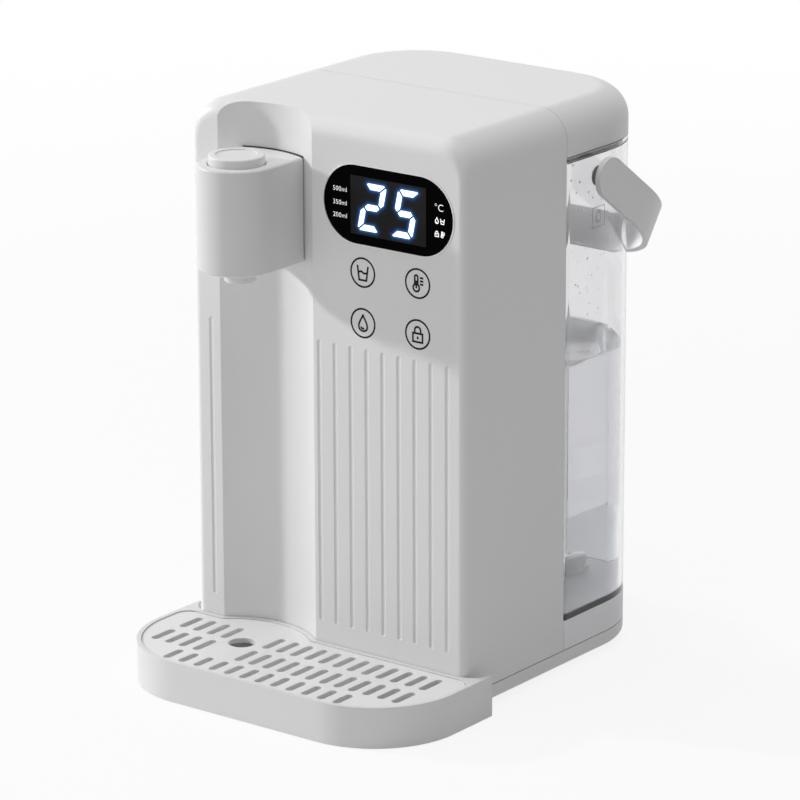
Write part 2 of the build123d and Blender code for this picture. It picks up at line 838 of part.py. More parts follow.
# Nozzle: a ring below the cover, a flange on it and a spigot for the hose
cover_top = spout_bottom + spout_cover_thickness
nozzle_bottom = spout_bottom - nozzle_drop
spigot_bottom = cover_top + nozzle_flange_thickness
with BuildPart() as spout_nozzle:
    with BuildSketch(Plane.XY.offset(nozzle_bottom)):
        with Locations((niche_x, nozzle_y)):
            Circle(nozzle_diameter / 2)
    extrude(amount=cover_top - nozzle_bottom)
    fillet(faces().sort_by(Axis.Z)[0].edges(), spout_edge)
    with BuildSketch(Plane.XY.offset(nozzle_bottom)):
        with Locations((niche_x, nozzle_y)):
            Circle(nozzle_diameter / 2 - nozzle_rim)
    extrude(amount=nozzle_cup_depth, mode=Mode.SUBTRACT)
    with BuildSketch(Plane.XY.offset(cover_top)):
        with Locations((niche_x, nozzle_y)):
            Circle(nozzle_diameter / 2 + nozzle_flange)
    extrude(amount=nozzle_flange_thickness)
    with BuildSketch(Plane.XY.offset(spigot_bottom)):
        with Locations((niche_x, nozzle_y)):
            Circle(hose_bore / 2 - spigot_fit)
    extrude(amount=nozzle_spigot_length)
    with BuildSketch(Plane.XY.offset(nozzle_bottom)):
        with Locations((niche_x, nozzle_y)):
            Circle(nozzle_bore / 2)
    extrude(amount=spigot_bottom + nozzle_spigot_length - nozzle_bottom, mode=Mode.SUBTRACT)
spout_nozzle.part.label = "spout_nozzle"
export_step(spout_nozzle.part, "parts/spout_nozzle.step")

# Push button, its switch on a small board, and its spring
button_top = spout_top + button_rise
with BuildPart() as dispense_button:
    with BuildSketch(Plane.XY.offset(flange_bottom)):
        with Locations((niche_x, spout_y)):
            Circle(button_diameter / 2)
    extrude(amount=button_top - flange_bottom)
    fillet(faces().sort_by(Axis.Z)[-1].edges(), button_edge)
    with BuildSketch(Plane.XY.offset(button_top - button_dish_depth)):
        with Locations((niche_x, spout_y)):
            Circle(button_dish_diameter / 2)
    extrude(amount=button_dish_depth, mode=Mode.SUBTRACT)
    with BuildSketch(Plane.XY.offset(flange_bottom)):
        with Locations((niche_x, spout_y)):
            Circle(button_diameter / 2 + button_flange)
    extrude(amount=button_flange_thickness)
    with BuildSketch(Plane.XY.offset(flange_bottom)):
        with Locations((niche_x, spout_y)):
            Circle(plunger_diameter / 2)
    extrude(amount=-plunger_length)
dispense_button.part.label = "dispense_button"
export_step(dispense_button.part, "parts/dispense_button.step")

with BuildPart() as button_switch:
    with BuildSketch(Plane.XY.offset(switch_board_top - board_thickness)):
        with Locations((niche_x, spout_y)):
            Rectangle(2 * (spout_half_width - spout_wall), switch_board_depth)
            Circle(spout_half_width - spout_wall, mode=Mode.INTERSECT)
    extrude(amount=board_thickness)
    with BuildSketch(Plane.XY.offset(switch_board_top)):
        with Locations((niche_x, spout_y)):
            Rectangle(switch_size, switch_size)
    extrude(amount=switch_height)
button_switch.part.label = "button_switch"
export_step(button_switch.part, "parts/button_switch.step")

with BuildPart() as button_spring:
    with BuildSketch(Plane.XY.offset(switch_board_top)):
        with Locations((niche_x, spout_y)):
            Circle(spring_diameter / 2)
            Circle(spring_diameter / 2 - spring_wire, mode=Mode.SUBTRACT)
    extrude(amount=flange_bottom - switch_board_top)
button_spring.part.label = "button_spring"
export_step(button_spring.part, "parts/button_spring.step")

# Water tank: a clear open shell with a rim, an outlet neck and two pivot pegs
peg_length = strap_offset + strap_thickness - strap_floor - rest_gap
rim_bottom = tank_top - rim_height
groove_level = rim_bottom - rim_groove_height
tank_layers = [
    (tank_bottom, groove_level, 0),
    (groove_level, rim_bottom, rim_groove_depth),
    (rim_bottom, tank_top, 0),
]
with BuildPart() as tank_shell:
    for bottom, top, inset in tank_layers:
        with BuildSketch(Plane.XY.offset(bottom)):
            draw_plan(
                body_width - 2 * inset,
                tank_front + inset,
                rear_y - inset,
                small_corner,
                rear_corner_radius - inset,
            )
        extrude(amount=top - bottom)
    with BuildSketch(Plane.XY.offset(insert_bottom)):
        with Locations((0, outlet_y)):
            Circle(neck_outer / 2)
    extrude(amount=tank_bottom - insert_bottom)
    for side in (-1, 1):
        with BuildSketch(Plane.YZ.offset(side * (half_width - tank_wall / 2))):
            with Locations((pivot_y, pivot_height)):
                Circle(peg_diameter / 2)
        extrude(amount=side * (tank_wall / 2 + peg_length))
    with BuildSketch(Plane.XY.offset(tank_inside)):
        draw_plan(
            body_width - 2 * tank_wall,
            tank_front + tank_wall,
            rear_y - tank_wall,
            small_corner,
            rear_corner_radius - tank_wall,
        )
    extrude(amount=tank_top, mode=Mode.SUBTRACT)
    with BuildSketch(Plane.XY.offset(insert_bottom)):
        with Locations((0, outlet_y)):
            Circle(tank_neck_bore / 2)
    extrude(amount=tank_inside - insert_bottom, mode=Mode.SUBTRACT)
tank_shell.part.label = "tank_shell"
export_step(tank_shell.part, "parts/tank_shell.step")

# Outlet insert in the neck, with the valve seat
insert_bore = tank_neck_bore - 2 * insert_wall
with BuildPart() as outlet_insert:
    with BuildSketch(Plane.XY.offset(insert_bottom)):
        with Locations((0, outlet_y)):
            Circle(tank_neck_bore / 2)
    extrude(amount=tank_inside - insert_bottom)
    with BuildSketch(Plane.XY.offset(tank_inside)):
        with Locations((0, outlet_y)):
            Circle(tank_neck_bore / 2 + insert_flange)
    extrude(amount=insert_floor)
    with BuildSketch(Plane.XY.offset(valve_seat)):
        with Locations((0, outlet_y)):
            Circle(insert_bore / 2)
    extrude(amount=tank_inside, mode=Mode.SUBTRACT)
    with BuildSketch(Plane.XY.offset(insert_bottom)):
        with Locations((0, outlet_y)):
            Circle(valve_hole / 2)
    extrude(amount=insert_floor, mode=Mode.SUBTRACT)
outlet_insert.part.label = "outlet_insert"
export_step(outlet_insert.part, "parts/outlet_insert.step")

# White filter cap over the outlet, which also guides the valve's stem
filter_top = tank_inside + filter_height
with BuildPart() as outlet_filter:
    with BuildSketch(Plane.XY.offset(tank_inside)):
        with Locations((0, outlet_y)):
            Circle(filter_diameter / 2)
    extrude(amount=filter_height)
    fillet(faces().sort_by(Axis.Z)[-1].edges(), small_corner)
    with BuildSketch(Plane.XY.offset(tank_inside)):
        with Locations((0, outlet_y)):
            Circle(filter_diameter / 2 - filter_wall)
    extrude(amount=filter_height - filter_wall, mode=Mode.SUBTRACT)
    with BuildSketch(Plane.XY.offset(filter_top)):
        with Locations((0, outlet_y)):
            Circle(poppet_stem / 2 + shaft_clearance)
    extrude(amount=-filter_wall, mode=Mode.SUBTRACT)
    slot_bottom = tank_inside + insert_floor + filter_wall
    slot_top = filter_top - 2 * filter_wall
    with BuildSketch(Plane.XY.offset(slot_bottom)):
        with Locations((0, outlet_y)):
            with PolarLocations(filter_diameter / 2, filter_slot_count):
                Rectangle(3 * filter_wall, filter_slot_width)
    extrude(amount=slot_top - slot_bottom, mode=Mode.SUBTRACT)
outlet_filter.part.label = "outlet_filter"
export_step(outlet_filter.part, "parts/outlet_filter.step")

# Valve poppet with its stem, washer and spring, shown lifted as it is on the machine
poppet_top = poppet_bottom + poppet_thickness
with BuildPart() as valve_poppet:
    with BuildSketch(Plane.XY.offset(poppet_bottom)):
        with Locations((0, outlet_y)):
            Circle(poppet_diameter / 2)
    extrude(amount=poppet_thickness)
    with BuildSketch(Plane.XY.offset(poppet_top)):
        with Locations((0, outlet_y)):
            Circle(poppet_stem / 2)
    extrude(amount=filter_top + valve_travel - poppet_top)
valve_poppet.part.label = "valve_poppet"
export_step(valve_poppet.part, "parts/valve_poppet.step")

with BuildPart() as valve_washer:
    with BuildSketch(Plane.XY.offset(washer_bottom)):
        with Locations((0, outlet_y)):
            Circle(poppet_diameter / 2)
            Circle(coupling_diameter / 2 + seam_gap, mode=Mode.SUBTRACT)
    extrude(amount=washer_thickness)
valve_washer.part.label = "valve_washer"
export_step(valve_washer.part, "parts/valve_washer.step")

with BuildPart() as valve_spring:
    with BuildSketch(Plane.XY.offset(poppet_top)):
        with Locations((0, outlet_y)):
            Circle(valve_spring_diameter / 2)
            Circle(valve_spring_diameter / 2 - spring_wire, mode=Mode.SUBTRACT)
    extrude(amount=filter_top - filter_wall - poppet_top)
valve_spring.part.label = "valve_spring"
export_step(valve_spring.part, "parts/valve_spring.step")

# Tank lid: the rear part of the machine's top, with a plug that goes into the tank's mouth
lid_bottom = tank_top + seam_gap
plug_inset = tank_wall + plug_gap
plug_bottom = tank_top - plug_depth
with BuildPart() as lid_hollow:
    with BuildSketch(Plane.XY.offset(lid_bottom)):
        add(bay_outline(lid_wall, front_corner=0))
    extrude(amount=machine_height - lid_wall - lid_bottom)
    rim_edges = faces().sort_by(Axis.Z)[-1].edges()
    fillet(rim_edges.sort_by(Axis.Y)[-1], side_top_radius - lid_wall)
    with BuildSketch(Plane.XY.offset(lid_bottom)):
        add(bay_outline(plug_inset))
        add(bay_outline(plug_inset + plug_wall), mode=Mode.SUBTRACT)
    extrude(amount=machine_height - lid_bottom, mode=Mode.SUBTRACT)

with BuildPart() as tank_lid:
    with BuildSketch(Plane.XY.offset(lid_bottom)):
        add(bay_outline(0, front_corner=0))
    extrude(amount=machine_height - lid_bottom)
    rim_edges = faces().sort_by(Axis.Z)[-1].edges()
    fillet(rim_edges.sort_by(Axis.Y)[-1], side_top_radius)
    add(lid_hollow.part, mode=Mode.SUBTRACT)
    with BuildSketch(Plane.XY.offset(plug_bottom)):
        add(bay_outline(plug_inset))
        add(bay_outline(plug_inset + plug_wall), mode=Mode.SUBTRACT)
    extrude(amount=lid_bottom + join - plug_bottom)
tank_lid.part.label = "tank_lid"
export_step(tank_lid.part, "parts/tank_lid.step")

# Rubber gasket round the lid's plug
with BuildPart() as lid_gasket:
    with BuildSketch(Plane.XY.offset(plug_bottom + gasket_height)):
        add(bay_outline(tank_wall + gasket_gap))
        add(bay_outline(plug_inset), mode=Mode.SUBTRACT)
    extrude(amount=gasket_height)
lid_gasket.part.label = "lid_gasket"
export_step(lid_gasket.part, "parts/lid_gasket.step")

# Grooved bushes on the pegs, which keep the handle away from the tank
bush_length = strap_offset - rest_gap
bush_pitch = bush_length / (bush_groove_count + 1)
for name, side in {"pivot_bush_left": -1, "pivot_bush_right": 1}.items():
    with BuildPart() as pivot_bush:
        with BuildSketch(Plane.YZ.offset(side * half_width)):
            with Locations((pivot_y, pivot_height)):
                Circle(bush_diameter / 2)
                Circle(peg_diameter / 2 + shaft_clearance, mode=Mode.SUBTRACT)
        extrude(amount=side * bush_length)
        for number in range(1, bush_groove_count + 1):
            groove_place = half_width + bush_pitch * number
            with BuildSketch(Plane.YZ.offset(side * groove_place)):
                with Locations((pivot_y, pivot_height)):
                    Circle(bush_diameter / 2 + join)
                    Circle(bush_diameter / 2 - bush_groove_depth, mode=Mode.SUBTRACT)
            extrude(amount=bush_groove_width / 2, both=True, mode=Mode.SUBTRACT)
    pivot_bush.part.label = name
    export_step(pivot_bush.part, f"parts/{name}.step")

# Bail handle: a flat strap bent to a U, whose round ends turn on the pegs
strap_inner = half_width + strap_offset
strap_outer = strap_inner + strap_thickness
bail_plane = Plane(
    origin=(0, pivot_y, pivot_height),
    x_dir=(1, 0, 0),
    z_dir=(0, hang_sin, hang_cos),
)
with BuildPart() as tank_handle:
    with BuildSketch(bail_plane):
        add(bail_outline(strap_outer, bail_outer, strap_corner))
        add(bail_outline(strap_inner, bail_inner, strap_corner - strap_thickness), mode=Mode.SUBTRACT)
    extrude(amount=strap_width / 2, both=True)
    for side in (-1, 1):
        with BuildSketch(Plane.YZ.offset(side * strap_inner)):
            with Locations((pivot_y, pivot_height)):
                Circle(strap_width / 2)
        extrude(amount=side * strap_thickness)
        with BuildSketch(Plane.YZ.offset(side * strap_inner)):
            with Locations((pivot_y, pivot_height)):
                Circle(peg_diameter / 2 + shaft_clearance)
        extrude(amount=side * (strap_thickness - strap_floor), mode=Mode.SUBTRACT)
tank_handle.part.label = "tank_handle"
export_step(tank_handle.part, "parts/tank_handle.step")

# Drip tray: a basin with a ledge for the grille, horns round the housing and a tongue into the base
tray_top = tray_lift + tray_height
ledge_level = tray_top - grille_recess - grille_thickness - rest_gap
with BuildPart() as drip_tray:
    with BuildSketch(Plane.XY.offset(tray_lift)):
        with Locations((0, front_y + (horn_reach - tray_reach) / 2)):
            Rectangle(tray_width, tray_reach + horn_reach)
        fillet(vertices().group_by(Axis.Y)[0], tray_corner)
        add(horn_keepout(), mode=Mode.SUBTRACT)
        add(niche_bulge(0))
    extrude(amount=tray_height)
    with BuildSketch(Plane.XY.offset(tray_lift + tray_floor)):
        draw_tray_inside(tray_rim + tray_ledge)
    extrude(amount=tray_height, mode=Mode.SUBTRACT)
    with BuildSketch(Plane.XY.offset(ledge_level)):
        draw_tray_inside(tray_rim)
    extrude(amount=tray_height, mode=Mode.SUBTRACT)
    with BuildSketch(Plane.XY.offset(tongue_level)):
        with Locations((tongue_offset, front_y + (tongue_length - tray_rim) / 2)):
            Rectangle(tongue_width, tongue_length + tray_rim)
    extrude(amount=tongue_thickness)
drip_tray.part.label = "drip_tray"
export_step(drip_tray.part, "parts/drip_tray.step")

# Drip grille with three rows of slots and a finger hole
slot_places = [slot_pitch * (index - (slot_count - 1) / 2) for index in range(slot_count)]
kept_places = slot_places[:left_slot_count] + slot_places[left_slot_count + bare_slot_count:]
bare_place = slot_places[left_slot_count] + slot_pitch * (bare_slot_count - 1) / 2
finger_hole_offset = finger_hole_shift - bare_place
front_half = (front_slot_count - 1) / 2
front_places = [front_slot_pitch * (index - front_half) for index in range(front_slot_count)]
with BuildPart() as drip_grille:
    with BuildSketch(Plane.XY.offset(ledge_level + rest_gap)):
        draw_tray_inside(tray_rim + rest_gap)
        for row in (rear_row, middle_row):
            with Locations(*[(place, front_y - row) for place in kept_places]):
                SlotOverall(slot_length, slot_width, rotation=quarter_turn, mode=Mode.SUBTRACT)
        with Locations(*[(place, front_y - front_row) for place in front_places]):
            SlotOverall(front_slot_length, slot_width, rotation=quarter_turn, mode=Mode.SUBTRACT)
        with Locations((-finger_hole_offset, front_y - finger_hole_place)):
            Circle(finger_hole_diameter / 2, mode=Mode.SUBTRACT)
    extrude(amount=grille_thickness)
drip_grille.part.label = "drip_grille"
export_step(drip_grille.part, "parts/drip_grille.step")

# Pump head with its inlet below and its outlet at the side
pump_top = pump_bottom + pump_head_height
outlet_level = pump_bottom + pump_head_height / 2
pump_radius = pump_diameter / 2
spigot_radius = hose_bore / 2 - spigot_fit
with BuildPart() as pump_head:
    with BuildSketch(Plane.XY.offset(pump_bottom)):
        with Locations((0, pump_y)):
            Circle(pump_radius)
    extrude(amount=pump_head_height)
    with BuildSketch(Plane.XY.offset(pump_bottom)):
        with Locations((0, pump_y)):
            Circle(spigot_radius)
    extrude(amount=-cap_spigot_length)
    with BuildSketch(Plane.YZ):
        with Locations((pump_y, outlet_level)):
            Circle(spigot_radius)
    extrude(amount=pump_radius + cap_spigot_length)
    with BuildSketch(Plane.XY.offset(pump_bottom + pump_wall)):
        with Locations((0, pump_y)):
            Circle(pump_radius - pump_wall)
    extrude(amount=pump_head_height, mode=Mode.SUBTRACT)
    with BuildSketch(Plane.XY.offset(pump_bottom + pump_wall)):
        with Locations((0, pump_y)):
            Circle(coupling_bore / 2)
    extrude(amount=-cap_spigot_length - pump_wall, mode=Mode.SUBTRACT)
    with BuildSketch(Plane.YZ):
        with Locations((pump_y, outlet_level)):
            Circle(coupling_bore / 2)
    extrude(amount=pump_radius + cap_spigot_length, mode=Mode.SUBTRACT)
pump_head.part.label = "pump_head"
export_step(pump_head.part, "parts/pump_head.step")

# Pump motor, whose flange closes the head and whose bore carries the shaft
with BuildPart() as pump_motor:
    with BuildSketch(Plane.XY.offset(pump_top)):
        with Locations((0, pump_y)):
            Circle(pump_radius)
    extrude(amount=motor_flange)
    with BuildSketch(Plane.XY.offset(pump_top)):
        with Locations((0, pump_y)):
            Circle(motor_diameter / 2)
    extrude(amount=motor_flange + motor_height)
    with BuildSketch(Plane.XY.offset(pump_top)):
        with Locations((0, pump_y)):
            Circle(shaft_diameter / 2 + shaft_clearance)
    extrude(amount=shaft_length + shaft_end_room, mode=Mode.SUBTRACT)
pump_motor.part.label = "pump_motor"
export_step(pump_motor.part, "parts/pump_motor.step")

# Pump rotor: a bladed disc on the motor's shaft
rotor_bottom = pump_bottom + pump_wall + impeller_room
blade_top = rotor_bottom + impeller_disc + impeller_blade
blade_inner = shaft_diameter / 4
blade_length = impeller_diameter / 2 - impeller_rim - blade_inner
blade_middle = blade_inner + blade_length / 2
with BuildPart() as pump_rotor:
    with BuildSketch(Plane.XY.offset(rotor_bottom)):
        with Locations((0, pump_y)):
            Circle(impeller_diameter / 2)
    extrude(amount=impeller_disc)
    with BuildSketch(Plane.XY.offset(rotor_bottom)):
        with Locations((0, pump_y)):
            with PolarLocations(blade_middle, impeller_blade_count):
                Rectangle(blade_length, impeller_blade_thickness)
    extrude(amount=blade_top - rotor_bottom)
    with BuildSketch(Plane.XY.offset(rotor_bottom)):
        with Locations((0, pump_y)):
            Circle(shaft_diameter / 2)
    extrude(amount=pump_top + shaft_length - rotor_bottom)
pump_rotor.part.label = "pump_rotor"
export_step(pump_rotor.part, "parts/pump_rotor.step")

# Brackets: a flange on the rear wall and a shelf with the hole that holds the motor or the heater
bracket_places = {
    "pump_bracket": (0, pump_bracket_level, motor_diameter),
    "heater_bracket": (heater_offset, heater_bracket_level, heater_diameter),
}
for name, (place, level, hole) in bracket_places.items():
    with BuildPart() as bracket:
        shelf_front = pump_y - hole / 2 - bracket_thickness
        with BuildSketch(Plane.XY.offset(level)):
            with Locations((place, (shelf_front + wall_face) / 2)):
                Rectangle(bracket_width, wall_face - shelf_front)
            with Locations((place, pump_y)):
                Circle(hole / 2, mode=Mode.SUBTRACT)
        extrude(amount=bracket_thickness)
        with BuildSketch(Plane.XZ.offset(-wall_face)):
            with Locations((place, level + bracket_height / 2)):
                Rectangle(bracket_width, bracket_height)
        extrude(amount=bracket_thickness)
    bracket.part.label = name
    export_step(bracket.part, f"parts/{name}.step")

# Flow heater: a steel tube between two caps with spigots
with BuildPart() as heater_tube:
    with BuildSketch(Plane.XY.offset(heater_bottom)):
        with Locations((heater_offset, pump_y)):
            Circle(heater_diameter / 2)
            Circle(heater_diameter / 2 - heater_wall, mode=Mode.SUBTRACT)
    extrude(amount=heater_length)
heater_tube.part.label = "heater_tube"
export_step(heater_tube.part, "parts/heater_tube.step")

cap_places = {
    "heater_cap_bottom": (heater_bottom, -1),
    "heater_cap_top": (heater_top, 1),
}
for name, (level, way) in cap_places.items():
    with BuildPart() as heater_cap:
        with BuildSketch(Plane.XY.offset(level)):
            with Locations((heater_offset, pump_y)):
                Circle(cap_diameter / 2)
        extrude(amount=way * cap_height)
        with BuildSketch(Plane.XY.offset(level + way * cap_height)):
            with Locations((heater_offset, pump_y)):
                Circle(spigot_radius)
        extrude(amount=way * cap_spigot_length)
        with BuildSketch(Plane.XY.offset(level)):
            with Locations((heater_offset, pump_y)):
                Circle(coupling_bore / 2)
        extrude(amount=way * (cap_height + cap_spigot_length), mode=Mode.SUBTRACT)
    heater_cap.part.label = name
    export_step(heater_cap.part, f"parts/{name}.step")

# Hoses, each over its two spigots
hose_start = outlet_y - coupling_flange / 2
with BuildPart() as inlet_hose:
    with BuildLine():
        hose_path((0, hose_start, hose_level), (0, pump_y, hose_level), (0, pump_y, pump_bottom))
    with BuildSketch(Plane.XZ.offset(-hose_start)):
        with Locations((0, hose_level)):
            draw_hose_section()
    sweep()
inlet_hose.part.label = "inlet_hose"
export_step(inlet_hose.part, "parts/inlet_hose.step")

cap_low = heater_bottom - cap_height
with BuildPart() as pump_hose:
    with BuildLine():
        hose_path(
            (pump_radius, pump_y, outlet_level),
            (heater_offset, pump_y, outlet_level),
            (heater_offset, pump_y, cap_low),
        )
    with BuildSketch(Plane.YZ.offset(pump_radius)):
        with Locations((pump_y, outlet_level)):
            draw_hose_section()
    sweep()
pump_hose.part.label = "pump_hose"
export_step(pump_hose.part, "parts/pump_hose.step")

cap_high = heater_top + cap_height
with BuildPart() as outlet_hose:
    with BuildLine():
        hose_path(
            (heater_offset, pump_y, cap_high),
            (heater_offset, pump_y, neck_level),
            (niche_x, pump_y, neck_level),
            (niche_x, nozzle_y, neck_level),
            (niche_x, nozzle_y, spigot_bottom),
        )
    with BuildSketch(Plane.XY.offset(cap_high)):
        with Locations((heater_offset, pump_y)):
            draw_hose_section()
    sweep()
outlet_hose.part.label = "outlet_hose"
export_step(outlet_hose.part, "parts/outlet_hose.step")

# Power board on the rear wall's standoffs, with its coil and capacitor
board_back = wall_face - standoff_height
board_front = board_back - board_thickness
board_middle = power_board_bottom + power_board_height / 2
with BuildPart() as power_board:
    with BuildSketch(Plane.XZ.offset(-board_back)):
        with Locations((-power_board_offset, board_middle)):
            Rectangle(power_board_width, power_board_height)
    extrude(amount=board_thickness)
    with BuildSketch(Plane.XZ.offset(-board_front)):
        with Locations((-power_board_offset, board_middle - power_board_height / 4)):
            Rectangle(coil_size, coil_size)
    extrude(amount=coil_depth)
    with BuildSketch(Plane.XZ.offset(-board_front)):
        with Locations((-power_board_offset, board_middle + power_board_height / 4)):
            Circle(capacitor_diameter / 2)
    extrude(amount=capacitor_length)
power_board.part.label = "power_board"
export_step(power_board.part, "parts/power_board.step")
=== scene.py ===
import json
import math

import bmesh
import bpy
import numpy as np
from mathutils import Matrix, Vector


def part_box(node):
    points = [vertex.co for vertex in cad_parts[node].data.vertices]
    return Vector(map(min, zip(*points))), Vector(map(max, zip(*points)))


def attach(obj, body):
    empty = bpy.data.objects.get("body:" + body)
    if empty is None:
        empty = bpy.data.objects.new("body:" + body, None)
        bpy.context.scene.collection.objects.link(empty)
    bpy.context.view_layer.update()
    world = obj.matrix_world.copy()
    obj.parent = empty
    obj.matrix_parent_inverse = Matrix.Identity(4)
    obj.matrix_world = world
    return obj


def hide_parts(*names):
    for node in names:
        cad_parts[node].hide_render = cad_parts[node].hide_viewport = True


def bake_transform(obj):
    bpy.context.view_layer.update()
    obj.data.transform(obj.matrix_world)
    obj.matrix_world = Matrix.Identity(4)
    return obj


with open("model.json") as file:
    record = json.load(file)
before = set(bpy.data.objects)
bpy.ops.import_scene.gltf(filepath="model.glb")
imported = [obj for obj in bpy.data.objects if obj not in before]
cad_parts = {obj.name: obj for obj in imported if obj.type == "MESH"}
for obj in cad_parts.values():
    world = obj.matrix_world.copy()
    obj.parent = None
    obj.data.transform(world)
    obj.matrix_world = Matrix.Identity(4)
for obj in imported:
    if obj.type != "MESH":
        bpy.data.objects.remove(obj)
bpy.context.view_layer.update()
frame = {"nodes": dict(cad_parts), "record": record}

nodes = frame["nodes"]
mm = 0.001
print("frame loaded:", len(nodes), "nodes")


class Wire:
    # a shader socket that takes part in sums; node() adds any other kind of node
    def __init__(self, tree, socket=None):
        self.tree = tree
        self.socket = socket

    def node(self, kind, settings=None, sockets=None, output=0):
        made = self.tree.nodes.new("ShaderNode" + kind)
        for name, value in (settings or {}).items():
            setattr(made, name, value)
        for key, value in (sockets or {}).items():
            if isinstance(value, Wire):
                self.tree.links.new(value.socket, made.inputs[key])
            else:
                made.inputs[key].default_value = value
        return Wire(self.tree, made.outputs[output] if len(made.outputs) else None)

    def maths(self, operation, *values):
        return self.node("Math", {"operation": operation}, dict(enumerate(values)))

    def __add__(self, other):
        return self.maths("ADD", self, other)

    def __radd__(self, other):
        return self.maths("ADD", other, self)

    def __sub__(self, other):
        return self.maths("SUBTRACT", self, other)

    def __rsub__(self, other):
        return self.maths("SUBTRACT", other, self)

    def __mul__(self, other):
        return self.maths("MULTIPLY", self, other)

    def __rmul__(self, other):
        return self.maths("MULTIPLY", other, self)

    def blend(self, first, second):
        # a colour between the two, by this value; 6, 7 and output 2 are the Mix node's sockets for colours
        return self.node("Mix", {"data_type": "RGBA"}, {0: self, 6: first, 7: second}, output=2)

    def shade(self, base, dark, bright):
        # one colour made darker or brighter, by this value
        return self.blend(colour(base, dark), colour(base, bright))


def colour(value, lift=1.0):
    # red, green and blue, made brighter or darker by the lift, and the opaque fourth part
    return (*(min(part * lift, 1.0) for part in value), 1.0)


def newFinish(name):
    # an empty material, and its piece's own coordinates, which the other nodes start from
    finish = bpy.data.materials.new(name)
    finish.use_nodes = True
    finish.node_tree.nodes.clear()
    return finish, Wire(finish.node_tree).node("TexCoord", output="Object")


def noiseOn(place, scale, detail=2.0):
    # soft noise, from nought to one with a mean of a half
    return place.node("TexNoise", None, {"Vector": place, "Scale": scale, "Detail": detail})


def closeFinish(place, sockets):
    surface = place.node("BsdfPrincipled", None, sockets)
    place.node("OutputMaterial", None, {"Surface": surface})


def closeClear(place, sockets, shade):
    # a clear surface that lets lamp light through, tinted by its shade, where it would cast a full shadow
    surface = place.node("BsdfPrincipled", None, sockets)
    through = place.node("BsdfTransparent", None, {"Color": colour(shade)})
    shadow = place.node("LightPath", output="Is Shadow Ray")
    mixed = place.node("MixShader", None, {0: shadow, 1: surface, 2: through})
    place.node("OutputMaterial", None, {"Surface": mixed})


mouldedLook = {"colour": (0.80, 0.80, 0.80), "rough": 0.46, "ior": 1.46,
               "cloud": 0.012, "cloudScale": 18.0, "cloudRough": 0.12,
               "grain": 0.25, "grainScale": 1900.0, "grainDepth": 0.04 * mm, "grainRough": 0.06,
               "edge": 0.5 * mm, "edgeGain": 4.0, "wear": 0.5, "wearLift": 1.12, "polish": 0.1}


def mouldedFinish(name, **changes):
    # Moulded plastic or rubber: a cloudy tone, a fine grain, and edges rounded and polished by wear.
    look = {**mouldedLook, **changes}
    finish, place = newFinish(name)
    cloud = noiseOn(place, look["cloudScale"], detail=3.0)
    grain = noiseOn(place, look["grainScale"])
    rounded = place.node("Bevel", {"samples": 4}, {"Radius": look["edge"]})
    flat = place.node("NewGeometry", output="Normal")
    facing = place.node("VectorMath", {"operation": "DOT_PRODUCT"}, {0: rounded, 1: flat}, output="Value")
    gain = {0: 1 - facing, 1: look["edgeGain"]}
    worn = place.node("Math", {"operation": "MULTIPLY", "use_clamp": True}, gain)
    tone = cloud.shade(look["colour"], 1 - look["cloud"], 1 + look["cloud"])
    tint = (worn * look["wear"]).blend(tone, colour(look["colour"], look["wearLift"]))
    rough = look["rough"] + (cloud - 0.5) * look["cloudRough"] + (grain - 0.5) * look["grainRough"]
    bump = place.node("Bump", None, {"Strength": look["grain"], "Distance": look["grainDepth"],
                                     "Height": grain, "Normal": rounded})
    closeFinish(place, {"Base Color": tint, "Roughness": rough - worn * look["polish"], "Normal": bump,
                        "IOR": look["ior"]})
    return finish


glossLook = {"swirl": 0.3, "swirlScale": 60.0, "swirlRough": 0.03, "ior": 1.5}


def glossFinish(name, **changes):
    # Smoked glossy plastic: near black, with faint swirls in the polish.
    look = {**glossLook, **changes}
    finish, place = newFinish(name)
    swirl = noiseOn(place, look["swirlScale"], detail=4.0)
    tone = swirl.shade(look["colour"], 1 - look["swirl"], 1 + look["swirl"])
    closeFinish(place, {"Base Color": tone, "Roughness": look["rough"] + swirl * look["swirlRough"],
                        "IOR": look["ior"], "Specular IOR Level": look["shine"]})
    return finish


steelLook = {"colour": (0.62, 0.62, 0.63), "dark": 0.8, "bright": 1.1, "rough": 0.22,
             "streakScale": (900.0, 900.0, 30.0), "streakRough": 0.18}


def metalFinish(name, look):
    # Drawn steel: fine streaks along the height, which change the tone and the gloss.
    finish, place = newFinish(name)
    stretched = place.node("Mapping", None, {"Vector": place, "Scale": look["streakScale"]})
    streak = noiseOn(stretched, 1.0, detail=3.0)
    tone = streak.shade(look["colour"], look["dark"], look["bright"])
    rough = look["rough"] + streak * look["streakRough"]
    closeFinish(place, {"Base Color": tone, "Metallic": 1.0, "Roughness": rough})
    return finish


boardLook = {"colour": (0.03, 0.16, 0.06), "rough": 0.35,
             "trackScale": 260.0, "trackWidth": 0.03, "trackLift": 1.6, "trackRough": 0.1}


def boardFinish(name, look):
    # Lacquered circuit board: a grid of paler tracks under green varnish.
    finish, place = newFinish(name)
    grid = {"Vector": place, "Scale": look["trackScale"], "Mortar Size": look["trackWidth"]}
    tracks = place.node("TexBrick", None, grid, output="Fac")
    tone = tracks.shade(look["colour"], 1.0, look["trackLift"])
    closeFinish(place, {"Base Color": tone, "Roughness": look["rough"] + tracks * look["trackRough"]})
    return finish


tankClearLook = {"colour": (0.89, 0.885, 0.895), "shade": (0.96, 0.96, 0.965), "rough": 0.03, "ior": 1.49,
                 "ripple": 0.04, "rippleScale": 40.0, "rippleDepth": 0.4 * mm, "rippleTone": 0.97}


